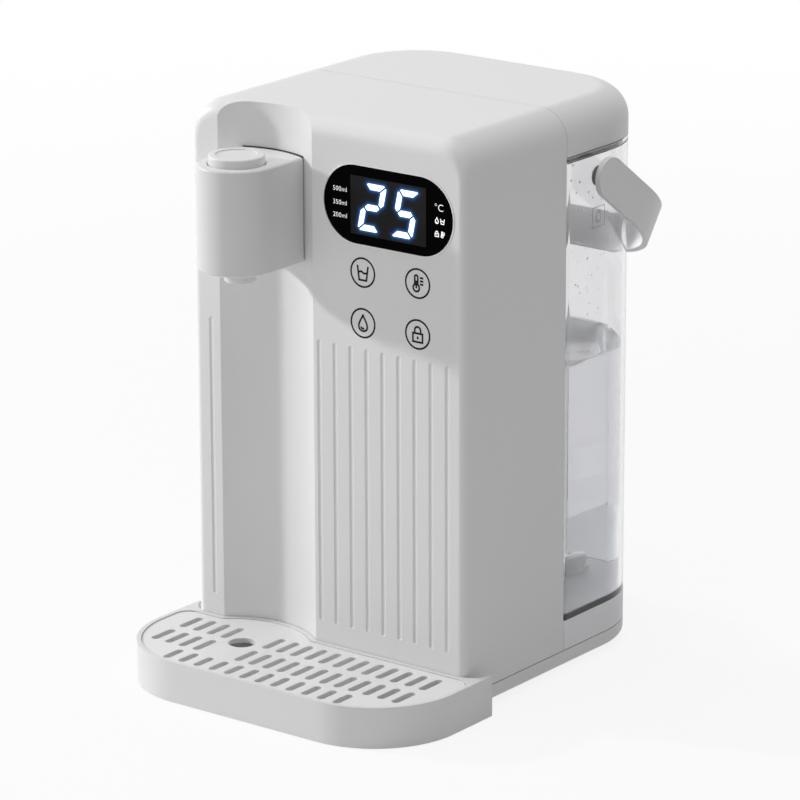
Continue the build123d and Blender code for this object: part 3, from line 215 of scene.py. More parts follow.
def clearFinish(name, look):
    # Clear moulding or still water: light goes through with a faint tint, and small ripples bend the gloss.
    finish, place = newFinish(name)
    ripple = noiseOn(place, look["rippleScale"])
    depth = {"Strength": look["ripple"], "Distance": look["rippleDepth"], "Height": ripple}
    bump = place.node("Bump", None, depth)
    tone = ripple.shade(look["colour"], look["rippleTone"], 1.0)
    sockets = {"Base Color": tone, "Roughness": look["rough"], "IOR": look["ior"],
               "Transmission Weight": 1.0, "Normal": bump}
    closeClear(place, sockets, look["shade"])
    return finish


finishes = {
    "housing": mouldedFinish("housingWhite"),
    "base": mouldedFinish("baseWhite"),
    # painted light: the seat's white is paler than the housing's, for the light bounced up onto it from the
    # floor
    "seat": mouldedFinish("seatLitWhite", colour=(0.86, 0.855, 0.88)),
    "rear_wall": mouldedFinish("rearWallWhite"),
    # painted shade: the spout's white is greyer than the housing's, to darken its shaded sides
    "spout": mouldedFinish("spoutShadedWhite", colour=(0.745, 0.745, 0.745), rough=0.42),
    "button": mouldedFinish("buttonWhite", rough=0.4, wear=0.7),
    "tray": mouldedFinish("trayWhite"),
    "grille": mouldedFinish("grilleWhite", colour=(0.87, 0.87, 0.87), rough=0.4),
    "lid": mouldedFinish("lidWhite"),
    "handle": mouldedFinish("handleGrey", colour=(0.79, 0.79, 0.80)),
    # partly painted shade: the pivot bushes' dark grey also stands for the shade between the tank and the
    # handle's arms
    "bush": mouldedFinish("bushShadedGrey", colour=(0.30, 0.30, 0.31), rough=0.5),
    "fitting": mouldedFinish("fittingWhite", colour=(0.84, 0.84, 0.85), rough=0.35),
    "rubber": mouldedFinish("footRubber", colour=(0.05, 0.05, 0.05), cloud=0.2, rough=0.75, grain=0.5,
                            grainScale=1200.0),
    "hose": mouldedFinish("hoseSilicone", colour=(0.72, 0.72, 0.70), rough=0.4),
    "inlet": mouldedFinish("inletBlack", colour=(0.03, 0.03, 0.03), cloud=0.15),
    "window": glossFinish("windowSmoke", colour=(0.001, 0.001, 0.0012), rough=0.06, shine=0.012),
    "digits": glossFinish("digitModuleBlack", colour=(0.02, 0.02, 0.024), rough=0.3, shine=0.5),
    "steel": metalFinish("drawnSteel", steelLook),
    "board": boardFinish("boardGreen", boardLook),
    "tank": clearFinish("tankClear", tankClearLook),
}
for subpart in frame["record"]["subparts"]:
    # the pivot bushes take the dark grey, which is partly painted shade
    isBush = subpart["node"].startswith("pivot_bush")
    coats = nodes[subpart["node"]].data.materials
    coats.clear()
    coats.append(finishes["bush" if isBush else subpart["material_slot"]])
print("finishes on nodes:", len(finishes))


# Helpers for new pieces: arrays of points in millimetres, put into a mesh in metres
mergeWithin = 1e-7  # metres


def boxOf(node):
    # a node's lowest and highest corners at rest
    return [np.array(corner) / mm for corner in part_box(node)]


def gridFaces(rows, columns, wrapRows=False, wrapColumns=False):
    # four-sided faces between neighbouring points of a grid that is stored row by row
    down = np.arange(rows if wrapRows else rows - 1)
    across = np.arange(columns if wrapColumns else columns - 1)
    row, column = np.meshgrid(down, across, indexing="ij")
    nextRow, nextColumn = (row + 1) % rows, (column + 1) % columns
    corners = (row * columns + column, row * columns + nextColumn,
               nextRow * columns + nextColumn, nextRow * columns + column)
    return np.stack(corners, axis=-1).reshape(-1, 4).tolist()


def joinShapes(shapes):
    # one list of points and faces out of several
    starts = np.cumsum([0] + [len(points) for points, faces in shapes])
    joined = [[index + start for index in face]
              for start, (points, faces) in zip(starts, shapes) for face in faces]
    return np.concatenate([points for points, faces in shapes]), joined


def arcPoints(centre, radius, start, end, steps):
    # points on a circle between two angles, in degrees from the right, turning towards the top
    angle = np.radians(np.linspace(start, end, steps))
    return np.stack([centre[0] + radius * np.cos(angle), centre[1] + radius * np.sin(angle)], axis=1)


def ribbon(path, width, height, closed=False):
    # A low rectangle carried along a flat path: each point moves out to both sides along the mitre of its
    # two runs, which is the sum of their side vectors divided by one plus the cosine of the turn.
    path = np.asarray(path, float)
    runIn = path - np.roll(path, 1, axis=0)
    runOut = np.roll(path, -1, axis=0) - path
    if not closed:
        runIn[0], runOut[-1] = runOut[0], runIn[-1]
    sideIn, sideOut = (np.stack([-run[:, 1], run[:, 0]], axis=1) / np.linalg.norm(run, axis=1)[:, None]
                       for run in (runIn, runOut))
    mitre = (sideIn + sideOut) / (1 + np.sum(sideIn * sideOut, axis=1))[:, None] * width / 2
    edges = np.stack([path + mitre, path + mitre, path - mitre, path - mitre], axis=1)
    lift = np.broadcast_to([0.0, height, height, 0.0], edges.shape[:2])
    points = np.concatenate([edges, lift[:, :, None]], axis=2).reshape(-1, 3)
    faces = gridFaces(len(path), 4, wrapRows=closed, wrapColumns=True)
    if not closed:
        last = 4 * (len(path) - 1)
        faces += [[0, 1, 2, 3], [last, last + 1, last + 2, last + 3]]
    return points, faces


def tile(outline, height):
    # a flat plate: the outline at the foot and again at the height, with a face on each
    outline = np.asarray(outline, float)
    count = len(outline)
    lift = np.repeat([0.0, height], count)
    points = np.concatenate([np.tile(outline, (2, 1)), lift[:, None]], axis=1)
    faces = gridFaces(2, count, wrapColumns=True)
    return points, faces + [list(range(count)), list(range(count, 2 * count))]


def onFront(points, face):
    # across, up and lift on a front face become X, Z and Y, with the lift towards the viewer
    return np.stack([points[:, 0], face - points[:, 2], points[:, 1]], axis=1)


def meshPoints(mesh):
    place = np.empty(len(mesh.vertices) * 3)
    mesh.vertices.foreach_get("co", place)
    return place.reshape(-1, 3)


def addPiece(name, points, faces, finish, body, sharp=None):
    # faces stay flat, unless an angle is given past which an edge of the smooth surface is sharp
    mesh = bpy.data.meshes.new(name)
    mesh.from_pydata((np.asarray(points) * mm).tolist(), [], faces)
    work = bmesh.new()
    work.from_mesh(mesh)
    bmesh.ops.remove_doubles(work, verts=work.verts, dist=mergeWithin)
    bmesh.ops.recalc_face_normals(work, faces=work.faces)
    work.to_mesh(mesh)
    work.free()
    mesh.polygons.foreach_set("use_smooth", np.full(len(mesh.polygons), sharp is not None))
    if sharp is not None:
        mesh.set_sharp_from_angle(angle=math.radians(sharp))
    mesh.materials.append(finish)
    piece = bpy.data.objects.new(name, mesh)
    bpy.context.scene.collection.objects.link(piece)
    if body:
        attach(piece, body)
    return piece


def addPrint(name, shapes, face, finish):
    # flat shapes joined into one piece on a front face of the machine
    points, faces = joinShapes(shapes)
    addPiece(name, onFront(points, face), faces, finish, "machine")


windowLow, windowHigh = boxOf("display_window")
seatLow, seatHigh = boxOf("tank_seat")
windowFace, panelFace = windowLow[1], boxOf("main_housing")[0][1]

# Lit digits: seven-segment cells that lean to the right
digitLook = {"shown": ("abged", "afgcd"), "left": (19.6, 40.05), "bottom": 243.1, "lean": 0.207,
             "width": 13.35, "height": 24.4, "bar": 3.05, "gap": 0.68, "nip": 1.1, "lift": 0.06,
             "cool": (0.86, 0.93, 1.0), "white": (1.0, 1.0, 1.0), "grainScale": 900.0,
             "rough": 0.5, "light": 1.15}


def segmentOutlines(look):
    # Outline of each bar in an upright cell. The top bar is a trapezium with nipped tips, the upper right
    # bar has one such tip and one point at the middle, and their mirror images are the other outer bars.
    wide, high, bar, gap, nip = (look[key] for key in ("width", "height", "bar", "gap", "nip"))
    middle, half, tip = high / 2, bar / 2, nip / 2
    top = np.array([(nip + gap, high), (wide - nip - gap, high), (wide - tip - gap, high - tip),
                    (wide - bar - gap, high - bar), (bar + gap, high - bar), (tip + gap, high - tip)])
    right = np.array([(wide, high - nip - gap), (wide, middle + half + gap), (wide - half, middle + gap),
                      (wide - bar, middle + half + gap), (wide - bar, high - bar - gap),
                      (wide - tip, high - tip - gap)])
    centre = np.array([(half + gap, middle), (bar + gap, middle + half), (wide - bar - gap, middle + half),
                       (wide - half - gap, middle), (wide - bar - gap, middle - half),
                       (bar + gap, middle - half)])
    flipUp, flipAcross = np.array([1.0, -1.0]), np.array([-1.0, 1.0])
    return {"a": top, "d": top * flipUp + (0.0, high), "b": right, "c": right * flipUp + (0.0, high),
            "f": right * flipAcross + (wide, 0.0), "e": -right + (wide, high), "g": centre}


def digitFinish(name, look):
    # Lit segment: white light with a bluish fall-off in the diffuser's fine grain.
    finish, place = newFinish(name)
    tone = noiseOn(place, look["grainScale"]).blend(colour(look["cool"]), colour(look["white"]))
    closeFinish(place, {"Base Color": tone, "Roughness": look["rough"], "Emission Color": tone,
                        "Emission Strength": look["light"]})
    return finish


bars = segmentOutlines(digitLook)
leaning = np.array([[1.0, 0.0], [digitLook["lean"], 1.0]])
litBars = [bars[letter] @ leaning + (left, digitLook["bottom"])
           for letters, left in zip(digitLook["shown"], digitLook["left"]) for letter in letters]
litTiles = [tile(outline, digitLook["lift"]) for outline in litBars]
addPrint("displayDigits", litTiles, windowFace, digitFinish("digitLight", digitLook))

# Glow of the digits on the dark panel that carries them
glowLook = {"left": 15.4, "right": 62.3, "low": 240.6, "high": 270.6, "step": 0.35, "lift": 0.025,
            "thickness": 0.02, "reach": 0.6, "halo": (0.03, 0.27, 0.85), "strength": 0.7,
            "panel": (0.009, 0.0085, 0.0085), "haze": 0.3, "hazeScale": 120.0, "hazeRough": 0.1,
            "rough": 0.35, "shine": 0.1}


def distanceToBars(points, outlines):
    # least distance from each point to any edge of any bar: the foot on an edge is where the point's share
    # of the edge's run lies, held between nought and one
    starts = np.concatenate(outlines)
    runs = np.concatenate([np.roll(outline, -1, axis=0) - outline for outline in outlines])
    away = points[:, None, :] - starts[None, :, :]
    share = np.clip(np.sum(away * runs, axis=2) / np.sum(runs * runs, axis=1), 0.0, 1.0)
    return np.linalg.norm(away - share[:, :, None] * runs, axis=2).min(axis=1)


def glowFinish(name, look):
    # Dark diffuser: blue light that fades with the distance from the lit bars, kept in the mesh as "glow".
    finish, place = newFinish(name)
    haze = noiseOn(place, look["hazeScale"], detail=3.0)
    glow = place.node("Attribute", {"attribute_name": "glow"}, output="Fac")
    tone = haze.shade(look["panel"], 1 - look["haze"], 1 + look["haze"])
    light = glow.shade(look["halo"], 0.0, 1.0)
    closeFinish(place, {"Base Color": tone, "Roughness": look["rough"] + haze * look["hazeRough"],
                        "Specular IOR Level": look["shine"], "Emission Color": light,
                        "Emission Strength": look["strength"]})
    return finish


def addGlowPanel(look):
    # A level grid over the panel, made solid downwards. The glow at a point is the exponential of minus its
    # distance from the bars over the reach.
    across = np.arange(look["left"], look["right"], look["step"])
    up = np.arange(look["low"], look["high"], look["step"])
    acrossGrid, upGrid = np.meshgrid(across, up)
    points = np.stack([acrossGrid, upGrid, np.full(acrossGrid.shape, look["lift"])], axis=-1).reshape(-1, 3)
    faces = gridFaces(len(up), len(across))
    panel = addPiece("displayGlow", onFront(points, windowFace), faces, glowFinish("digitGlow", look),
                     "machine")
    flat = meshPoints(panel.data)[:, [0, 2]] / mm
    glow = np.exp(-distanceToBars(flat, litBars) / look["reach"]).astype(np.float32)
    panel.data.attributes.new("glow", "FLOAT", "POINT").data.foreach_set("value", glow)
    rim = panel.modifiers.new("thickness", "SOLIDIFY")
    rim.thickness = look["thickness"] * mm
    rim.offset = -1.0


addGlowPanel(glowLook)
print("digits lit:", len(litBars))

# Bead round the window, in the corner between its edge and the panel; its white, paler than the housing's,
# is painted highlight for a bright rim round the window
beadLook = {"flange": 1.2, "out": 0.35, "width": 0.7, "lift": 0.22, "steps": 40,
            "colour": (0.92, 0.92, 0.92), "rough": 0.3}


def addBead(look):
    # a strip along the window's outline: a half circle at each end, joined by straight runs
    size, middle = windowHigh - windowLow, (windowLow + windowHigh) / 2
    radius = size[2] / 2 - look["flange"] + look["out"]
    half = (size[0] - size[2]) / 2
    ends = [arcPoints((middle[0] + side * half, middle[2]), radius, start, start + 180, look["steps"])
            for side, start in ((1, -90), (-1, 90))]
    strip = ribbon(np.concatenate(ends), look["width"], look["lift"], closed=True)
    # a paler white than the housing's: painted highlight
    finish = mouldedFinish("beadHighlightWhite", colour=look["colour"], rough=look["rough"])
    addPrint("windowBead", [strip], panelFace, finish)


addBead(beadLook)

# Inks of the keys and of the lit captions
inkLook = {"dark": 0.9, "bright": 1.08, "thinScale": 700.0, "thinRough": 0.12, "rough": 0.5}


def inkFinish(name, **changes):
    # Screen-printed ink: its tone and gloss vary a little where it lies thinner. Lit from behind, it glows.
    look = {**inkLook, **changes}
    finish, place = newFinish(name)
    thin = noiseOn(place, look["thinScale"])
    tone = thin.shade(look["colour"], look["dark"], look["bright"])
    sockets = {"Base Color": tone, "Roughness": look["rough"] + thin * look["thinRough"],
               "Specular IOR Level": look["shine"]}
    if "glow" in look:
        sockets["Emission Color"] = tone
        sockets["Emission Strength"] = look["glow"]
    closeFinish(place, sockets)
    return finish


keyInk = inkFinish("keyInk", colour=(0.014, 0.014, 0.015), shine=0.12)
captionInk = inkFinish("captionInk", colour=(0.78, 0.79, 0.80), shine=0.3, glow=0.85)

# Captions beside the digits: volumes on the left, the unit on the right
captionLook = {"volumes": (("500ml", 262.2), ("350ml", 255.3), ("200ml", 248.8)), "left": 4.5, "width": 8.5,
               "unit": "\u00b0C", "unitPlace": (67.4, 261.9), "unitWidth": 5.1,
               "lift": 0.03, "depth": 0.02, "extrude": 0.01, "thinner": -0.012, "spacing": 1.06}


def addLettering(name, text, start, width, look):
    # text made a mesh, scaled to the width, its left edge and its middle height at the start
    curve = bpy.data.curves.new(name, "FONT")
    curve.body = text
    curve.extrude = look["extrude"]
    curve.offset = look["thinner"]
    curve.space_character = look["spacing"]
    holder = bpy.data.objects.new(name + "Curve", curve)
    bpy.context.scene.collection.objects.link(holder)
    bpy.context.view_layer.update()
    mesh = bpy.data.meshes.new_from_object(holder.evaluated_get(bpy.context.evaluated_depsgraph_get()))
    place = meshPoints(mesh)
    low, high = place.min(axis=0), place.max(axis=0)
    scale = width / (high[0] - low[0])
    across = start[0] + (place[:, 0] - low[0]) * scale
    up = start[1] + (place[:, 1] - (low[1] + high[1]) / 2) * scale
    lift = look["lift"] + (place[:, 2] - low[2]) / (high[2] - low[2]) * look["depth"]
    faces = [list(polygon.vertices) for polygon in mesh.polygons]
    bpy.data.objects.remove(holder)
    bpy.data.curves.remove(curve)
    bpy.data.meshes.remove(mesh)
    addPrint(name, [(np.stack([across, up, lift], axis=1), faces)], windowFace, captionInk)


for number, (text, level) in enumerate(captionLook["volumes"], start=1):
    start = (captionLook["left"], level)
    addLettering("volumeCaption%d" % number, text, start, captionLook["width"], captionLook)
addLettering("unitCaption", captionLook["unit"], captionLook["unitPlace"], captionLook["unitWidth"],
             captionLook)

# Signs drawn with strokes in a square of two units; each stroke is a path, and whether it closes
signLook = {"steps": 28, "strokeRise": 0.1, "dropOpen": 0.02, "dropWidth": 0.92, "dropPower": 1.5}


def cupStrokes():
    body = [(-0.80, 0.85), (-0.55, -0.95), (0.55, -0.95), (0.80, 0.85)]
    level = [(-0.66, 0.02), (-0.22, 0.14), (0.22, -0.10), (0.66, 0.02)]
    return [(body, False), (level, False)]


def thermometerStrokes():
    bulb = arcPoints((-0.2, -0.55), 0.46, 120, 420, signLook["steps"])
    cap = arcPoints((-0.2, 0.78), 0.23, 0, 180, signLook["steps"] // 2)
    column = [(-0.2, -0.62), (-0.2, 0.35)]
    marks = [([(0.35, level), (0.85, level)], False) for level in (0.75, 0.35, -0.05)]
    return [(np.concatenate([bulb, cap]), True), (column, False)] + marks


def dropStrokes():
    # across is the width times the sine of the turn times a power of the sine of its half, up is its cosine
    turn = np.linspace(signLook["dropOpen"], 2 * np.pi - signLook["dropOpen"], 2 * signLook["steps"])
    taper = np.abs(np.sin(turn / 2)) ** signLook["dropPower"]
    outline = np.stack([signLook["dropWidth"] * np.sin(turn) * taper, np.cos(turn)], axis=1)
    shine = arcPoints((0.0, -0.35), 0.34, 200, 300, signLook["steps"] // 2)
    return [(outline, True), (shine, False)]


def padlockStrokes():
    body = [(-0.72, 0.12), (-0.72, -0.95), (0.72, -0.95), (0.72, 0.12)]
    bow = arcPoints((0.0, 0.5), 0.44, 180, 0, signLook["steps"])
    shackle = np.concatenate([[(-0.44, 0.12)], bow, [(0.44, 0.12)]])
    keyhole = [(0.0, -0.25), (0.0, -0.6)]
    return [(body, True), (shackle, False), (keyhole, False)]


def drawSign(strokes, centre, size, line, height):
    # each stroke a little higher than the one before, so that no two faces share a place
    rise = height * signLook["strokeRise"]
    return [ribbon(np.asarray(path) * size / 2 + centre, line, height + rise * number, closed)
            for number, (path, closed) in enumerate(strokes)]


# Touch keys: a thin printed ring round each sign
keyLook = {"ringDiameter": 15.6, "ringSteps": 72, "line": 0.95, "lift": 0.05,
           "signSize": 8.2, "signLine": 1.0,
           "keys": {"cupKey": (cupStrokes, (23.0, 221.5)), "heatKey": (thermometerStrokes, (57.0, 221.5)),
                    "pourKey": (dropStrokes, (23.0, 195.5)), "lockKey": (padlockStrokes, (57.0, 195.5))}}
ringRadius = (keyLook["ringDiameter"] - keyLook["line"]) / 2
for name, (sign, centre) in keyLook["keys"].items():
    ring = arcPoints(centre, ringRadius, 0, 360 - 360 / keyLook["ringSteps"], keyLook["ringSteps"])
    shapes = [ribbon(ring, keyLook["line"], keyLook["lift"], closed=True)]
    shapes += drawSign(sign(), centre, keyLook["signSize"], keyLook["signLine"], keyLook["lift"])
    addPrint(name, shapes, panelFace, keyInk)

# Small lit signs on the window: a drop and a cup, and below them a padlock and a thermometer
lampSignLook = {"size": 2.9, "line": 0.42, "lift": 0.05,
                "signs": {"waterSign": (dropStrokes, (68.6, 255.2)), "cupSign": (cupStrokes, (72.0, 255.2)),
                          "lockSign": (padlockStrokes, (68.6, 248.5)),
                          "heatSign": (thermometerStrokes, (72.1, 248.5))}}
for name, (sign, centre) in lampSignLook["signs"].items():
    shapes = drawSign(sign(), centre, lampSignLook["size"], lampSignLook["line"], lampSignLook["lift"])
    addPrint(name, shapes, windowFace, captionInk)
print("keys and lit signs printed:", len(keyLook["keys"]) + len(lampSignLook["signs"]))

# Dark seal in the gap between the spout's rear edge and the niche's wall: a rubber strip whose dark colour
# is partly painted shade, for the shadow line in that gap
shadowSealLook = {"centre": (-38.7, -94.354), "radius": 46.75, "half": 19.4, "below": 2.0, "above": 0.3,
            "thickness": 0.4, "steps": 40}


def addShadowSeal(look):
    # a low strip round the niche's axis, between the angles at which it meets the spout's sides, dark as
    # painted shade
    foot = boxOf("spout_housing")[1][2] - look["below"]
    side = math.degrees(math.asin(look["half"] / look["radius"]))
    radius = look["radius"] - look["thickness"] / 2
    path = arcPoints(look["centre"], radius, 90 + side, 90 - side, look["steps"])
    points, faces = ribbon(path, look["thickness"], look["below"] + look["above"])
    # the dark rubber finish here is partly painted shade for the gap's shadow line
    addPiece("spoutShadowSeal", points + (0.0, 0.0, foot), faces, finishes["rubber"], "machine")


addShadowSeal(shadowSealLook)

# The tank's inside, which the next pieces fit, and the water in it
tankSize = {"wall": 2.4, "floor": 2.6, "seatGap": 0.3, "rearCorner": 48.0, "frontCorner": 2.0,
            "rearSteps": 48, "frontSteps": 16}
tankFloor = seatHigh[2] + tankSize["seatGap"] + tankSize["floor"]
waterLook = {"level": 161.0, "clear": 0.1, "rise": 0.9, "riseReach": 1.6, "rings": 26, "sharp": 35.0,
             "colour": (0.75, 0.765, 0.785), "shade": (0.93, 0.94, 0.95), "rough": 0.0, "ior": 1.33,
             "ripple": 0.03, "rippleScale": 25.0, "rippleDepth": 0.5 * mm, "rippleTone": 0.985}
waterClear = clearFinish("waterClear", waterLook)


def tankPlan(inset):
    # the tank's outline moved in by the inset: arcs at its four corners, joined by straight sides
    half = seatHigh[0] - inset
    front, rear = seatLow[1] + inset, seatHigh[1] - inset
    big, small = tankSize["rearCorner"] - inset, tankSize["frontCorner"]
    rearSteps, frontSteps = tankSize["rearSteps"], tankSize["frontSteps"]
    return np.concatenate([arcPoints((half - small, front + small), small, -90, 0, frontSteps),
                           arcPoints((half - big, rear - big), big, 0, 90, rearSteps),
                           arcPoints((big - half, rear - big), big, 90, 180, rearSteps),
                           arcPoints((small - half, front + small), small, 180, 270, frontSteps)])


def addWater(look):
    # Rings of the tank's plan: from the middle of the floor out to the wall, up the wall, and back over the
    # surface, which climbs towards the wall by the rise times the exponential of minus the distance over
    # the reach. The rings' shares of the plan are square roots of even steps, so they crowd near the wall.
    plan = tankPlan(tankSize["wall"] + look["clear"])
    centre = plan.mean(axis=0)
    spread = np.sqrt(np.linspace(0.0, 1.0, look["rings"]))
    radius = np.linalg.norm(plan - centre, axis=1).mean()
    foot = tankFloor + look["clear"]
    surface = look["level"] + look["rise"] * np.exp(-(1 - spread) * radius / look["riseReach"])
    share = np.concatenate([spread[[0, -1]], spread[::-1]])
    height = np.concatenate([[foot, foot], surface[::-1]])
    rings = centre + share[:, None, None] * (plan - centre)
    points = np.concatenate([rings, np.broadcast_to(height[:, None, None], (*rings.shape[:2], 1))], axis=2)
    faces = gridFaces(len(share), len(plan), wrapColumns=True)
    addPiece("tankWater", points.reshape(-1, 3), faces, waterClear, "water_tank", look["sharp"])


addWater(waterLook)

# Frosted skin on the tank's floor, just over the water's foot; its dark grey is painted shade that darkens
# the lower part of the water
shadeSkinLook = {"inset": 0.5, "lift": 0.2, "thickness": 0.15,
            "low": (0.31, 0.34, 0.35), "high": (0.47, 0.50, 0.51), "rough": 0.35,
            "cloudScale": 45.0, "cloudShare": 0.6, "scratchScale": (60.0, 900.0, 60.0), "scratchTurn": 0.9,
            "scratchShare": 0.4, "scratchRough": 0.2}


def shadeSkinFinish(name, look):
    # Frosted moulding under water: a cloudy grey, dark as painted shade, with long fine scratches that
    # cross it at a slant.
    finish, place = newFinish(name)
    turn = {"Vector": place, "Rotation": (0.0, 0.0, look["scratchTurn"]), "Scale": look["scratchScale"]}
    scratch = noiseOn(place.node("Mapping", None, turn), 1.0)
    cloud = noiseOn(place, look["cloudScale"], detail=4.0)
    mixed = cloud * look["cloudShare"] + scratch * look["scratchShare"]
    closeFinish(place, {"Base Color": mixed.blend(colour(look["low"]), colour(look["high"])),
                        "Roughness": look["rough"] + scratch * look["scratchRough"]})
    return finish


# the skin's dark grey is painted shade for the lower part of the water
skinPoints, skinFaces = tile(tankPlan(tankSize["wall"] + shadeSkinLook["inset"]), shadeSkinLook["thickness"])
skinPlace = skinPoints + (0.0, 0.0, tankFloor + shadeSkinLook["lift"])
addPiece("tankFloorShadeSkin", skinPlace, skinFaces, shadeSkinFinish("floorFrostShade", shadeSkinLook), "water_tank")

# Float of the low-water sensor, on the tank's floor
floatLook = {"centre": (16.0, 90.0), "foot": 0.4, "steps": 48, "sharp": 30.0,
             "profile": ((0.0, 9.5), (5.0, 9.5), (6.6, 8.9), (7.4, 7.4), (7.4, 3.2), (8.8, 3.0), (9.2, 2.2),
                         (9.2, 0.0), (0.0, 0.0))}


def addFloat(look):
    # the profile's radius and height turned round the centre
    profile = np.array(look["profile"])
    turn = np.linspace(0.0, 2 * np.pi, look["steps"], endpoint=False)
    across = look["centre"][0] + profile[:, :1] * np.cos(turn)
    along = look["centre"][1] + profile[:, :1] * np.sin(turn)
    height = np.broadcast_to(tankFloor - look["foot"] + profile[:, 1:], across.shape)
    points = np.stack([across, along, height], axis=-1).reshape(-1, 3)
    faces = gridFaces(len(profile), len(turn), wrapColumns=True)
    addPiece("lowWaterFloat", points, faces, finishes["fitting"], "water_tank", look["sharp"])


addFloat(floatLook)

# Drops left on the tank's walls above the water
dropLook = {"seed": 7, "side": 46, "rear": 26, "sideFrom": 5.0, "sideRun": 30.0, "rearRun": 70.0,
            "low": 166.0, "high": 262.0, "least": 0.3, "most": 0.8, "sizePower": 3,
            "flat": 0.55, "tall": 1.15, "ringSteps": 10, "rowSteps": 7, "sharp": 180.0}


def addDrops(look):
    # Flattened spheroids: the wall's inner face cuts each in half, with its short axis square to the wall.
    draw = np.random.default_rng(look["seed"])
    count = 2 * look["side"] + look["rear"]
    inner = seatHigh - tankSize["wall"]
    walls = np.repeat([1.0, -1.0, 0.0], [look["side"], look["side"], look["rear"]])
    along = draw.uniform(0.0, 1.0, count)
    sideY = seatLow[1] + look["sideFrom"] + along * look["sideRun"]
    rearX = (along - 0.5) * look["rearRun"]
    centre = np.stack([np.where(walls == 0, rearX, walls * inner[0]), np.where(walls == 0, inner[1], sideY),
                       draw.uniform(look["low"], look["high"], count)], axis=1)
    size = draw.uniform(0.0, 1.0, count) ** look["sizePower"]
    radius = look["least"] + (look["most"] - look["least"]) * size
    around = np.linspace(0.0, 2 * np.pi, look["ringSteps"], endpoint=False)
    tilt = np.linspace(0.0, np.pi, look["rowSteps"])
    first = np.sin(tilt)[:, None] * np.cos(around)
    second = np.sin(tilt)[:, None] * np.sin(around) * look["tall"]
    short = np.cos(tilt)[:, None] * np.ones_like(around) * look["flat"]
    onSide = np.stack([short, first, second], axis=-1)
    onRear = np.stack([first, short, second], axis=-1)
    shape = np.where((walls == 0)[:, None, None, None], onRear, onSide)
    points = centre[:, None, None, :] + radius[:, None, None, None] * shape
    single = np.array(gridFaces(look["rowSteps"], look["ringSteps"], wrapColumns=True))
    starts = np.arange(count) * look["rowSteps"] * look["ringSteps"]
    faces = (single[None] + starts[:, None, None]).reshape(-1, 4).tolist()
    addPiece("tankDrops", points.reshape(-1, 3), faces, waterClear, "water_tank", look["sharp"])


addDrops(dropLook)

# Plain moulded mark on the tank's right side: a square with a drop in it
markLook = {"centre": (54.5, 236.3), "size": 10.5, "line": 0.45, "lift": 0.1, "drop": 0.6,
            "low": (0.50, 0.50, 0.52), "high": (0.72, 0.72, 0.74), "etchScale": 800.0,
            "rough": 0.6, "etchRough": 0.2, "cover": 0.25, "etchCover": 0.3}


def frostFinish(name, look):
    # Etched lines: pale and matt, and thin enough to see through.
    finish, place = newFinish(name)
    etch = noiseOn(place, look["etchScale"])
    tone = etch.blend(colour(look["low"]), colour(look["high"]))
    closeFinish(place, {"Base Color": tone, "Roughness": look["rough"] + etch * look["etchRough"],
                        "Alpha": look["cover"] + etch * look["etchCover"]})
    return finish


def addMark(look):
    # strokes drawn along the tank's length and height, with their lift away from its side
    line, lift = look["line"], look["lift"]
    corners = np.array([(-1.0, -1.0), (1.0, -1.0), (1.0, 1.0), (-1.0, 1.0)])
    shapes = [ribbon(corners * look["size"] / 2 + look["centre"], line, lift, closed=True)]
    shapes += drawSign(dropStrokes(), look["centre"], look["size"] * look["drop"], line, lift)
    points, faces = joinShapes(shapes)
    place = np.stack([seatHigh[0] + points[:, 2], points[:, 0], points[:, 1]], axis=1)
    addPiece("tankMark", place, faces, frostFinish("markFrost", look), "water_tank")


addMark(markLook)
print("water, float, drops and mark in the tank")

# Coil springs of the push button and the outlet valve, in place of their plain sleeves
coilLook = {"wire": 1.0, "turnSteps": 30, "wireSteps": 12, "closed": 0.9, "endRise": 1.4, "sharp": 40.0,
            "coils": {"buttonCoil": {"node": "button_spring", "turns": 4.2, "foot": "machine",
                                     "head": "dispense_button"},
                      "valveCoil": {"node": "valve_spring", "turns": 5.5, "foot": "valve",
                                    "head": "water_tank"}}}


def addCoil(name, coil, look):
    # A round wire carried along a helix: the height climbs evenly with the turns, but only by about the
    # wire's own thickness in the first and last ones, and each ring of the wire lies in the axis's plane.
    low, high = boxOf(coil["node"])
    thick, turns, closed = look["wire"], coil["turns"], look["closed"]
    turn = np.linspace(0.0, turns, int(turns * look["turnSteps"]))
    rise = thick * look["endRise"]
    level = np.interp(turn, [0.0, closed, turns - closed, turns],
                      [low[2] + thick / 2, low[2] + rise, high[2] - rise, high[2] - thick / 2])
    angle = 2 * np.pi * turn[:, None]
    around = np.linspace(0.0, 2 * np.pi, look["wireSteps"], endpoint=False)
    reach = (high[0] - low[0] - thick) / 2 + thick / 2 * np.cos(around)
    height = level[:, None] + thick / 2 * np.sin(around)
    middle = (low + high) / 2
    across, along = middle[0] + np.cos(angle) * reach, middle[1] + np.sin(angle) * reach
    points = np.stack([across, along, height], axis=-1)
    count, ring = len(turn), look["wireSteps"]
    faces = gridFaces(count, ring, wrapColumns=True)
    faces += [list(range(ring)), list(range((count - 1) * ring, count * ring))]
    piece = addPiece(name, points.reshape(-1, 3), faces, finishes["steel"], None, look["sharp"])
    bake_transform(piece)
    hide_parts(coil["node"])


for coilName, coil in coilLook["coils"].items():
    addCoil(coilName, coil, coilLook)

# Soft lip on the lid's front edge, which fills most of the seam to the housing
lipLook = {"below": 0.1, "width": 1.2, "thickness": 0.3, "shoulder": 16.0, "height": 23.6, "steps": 24}


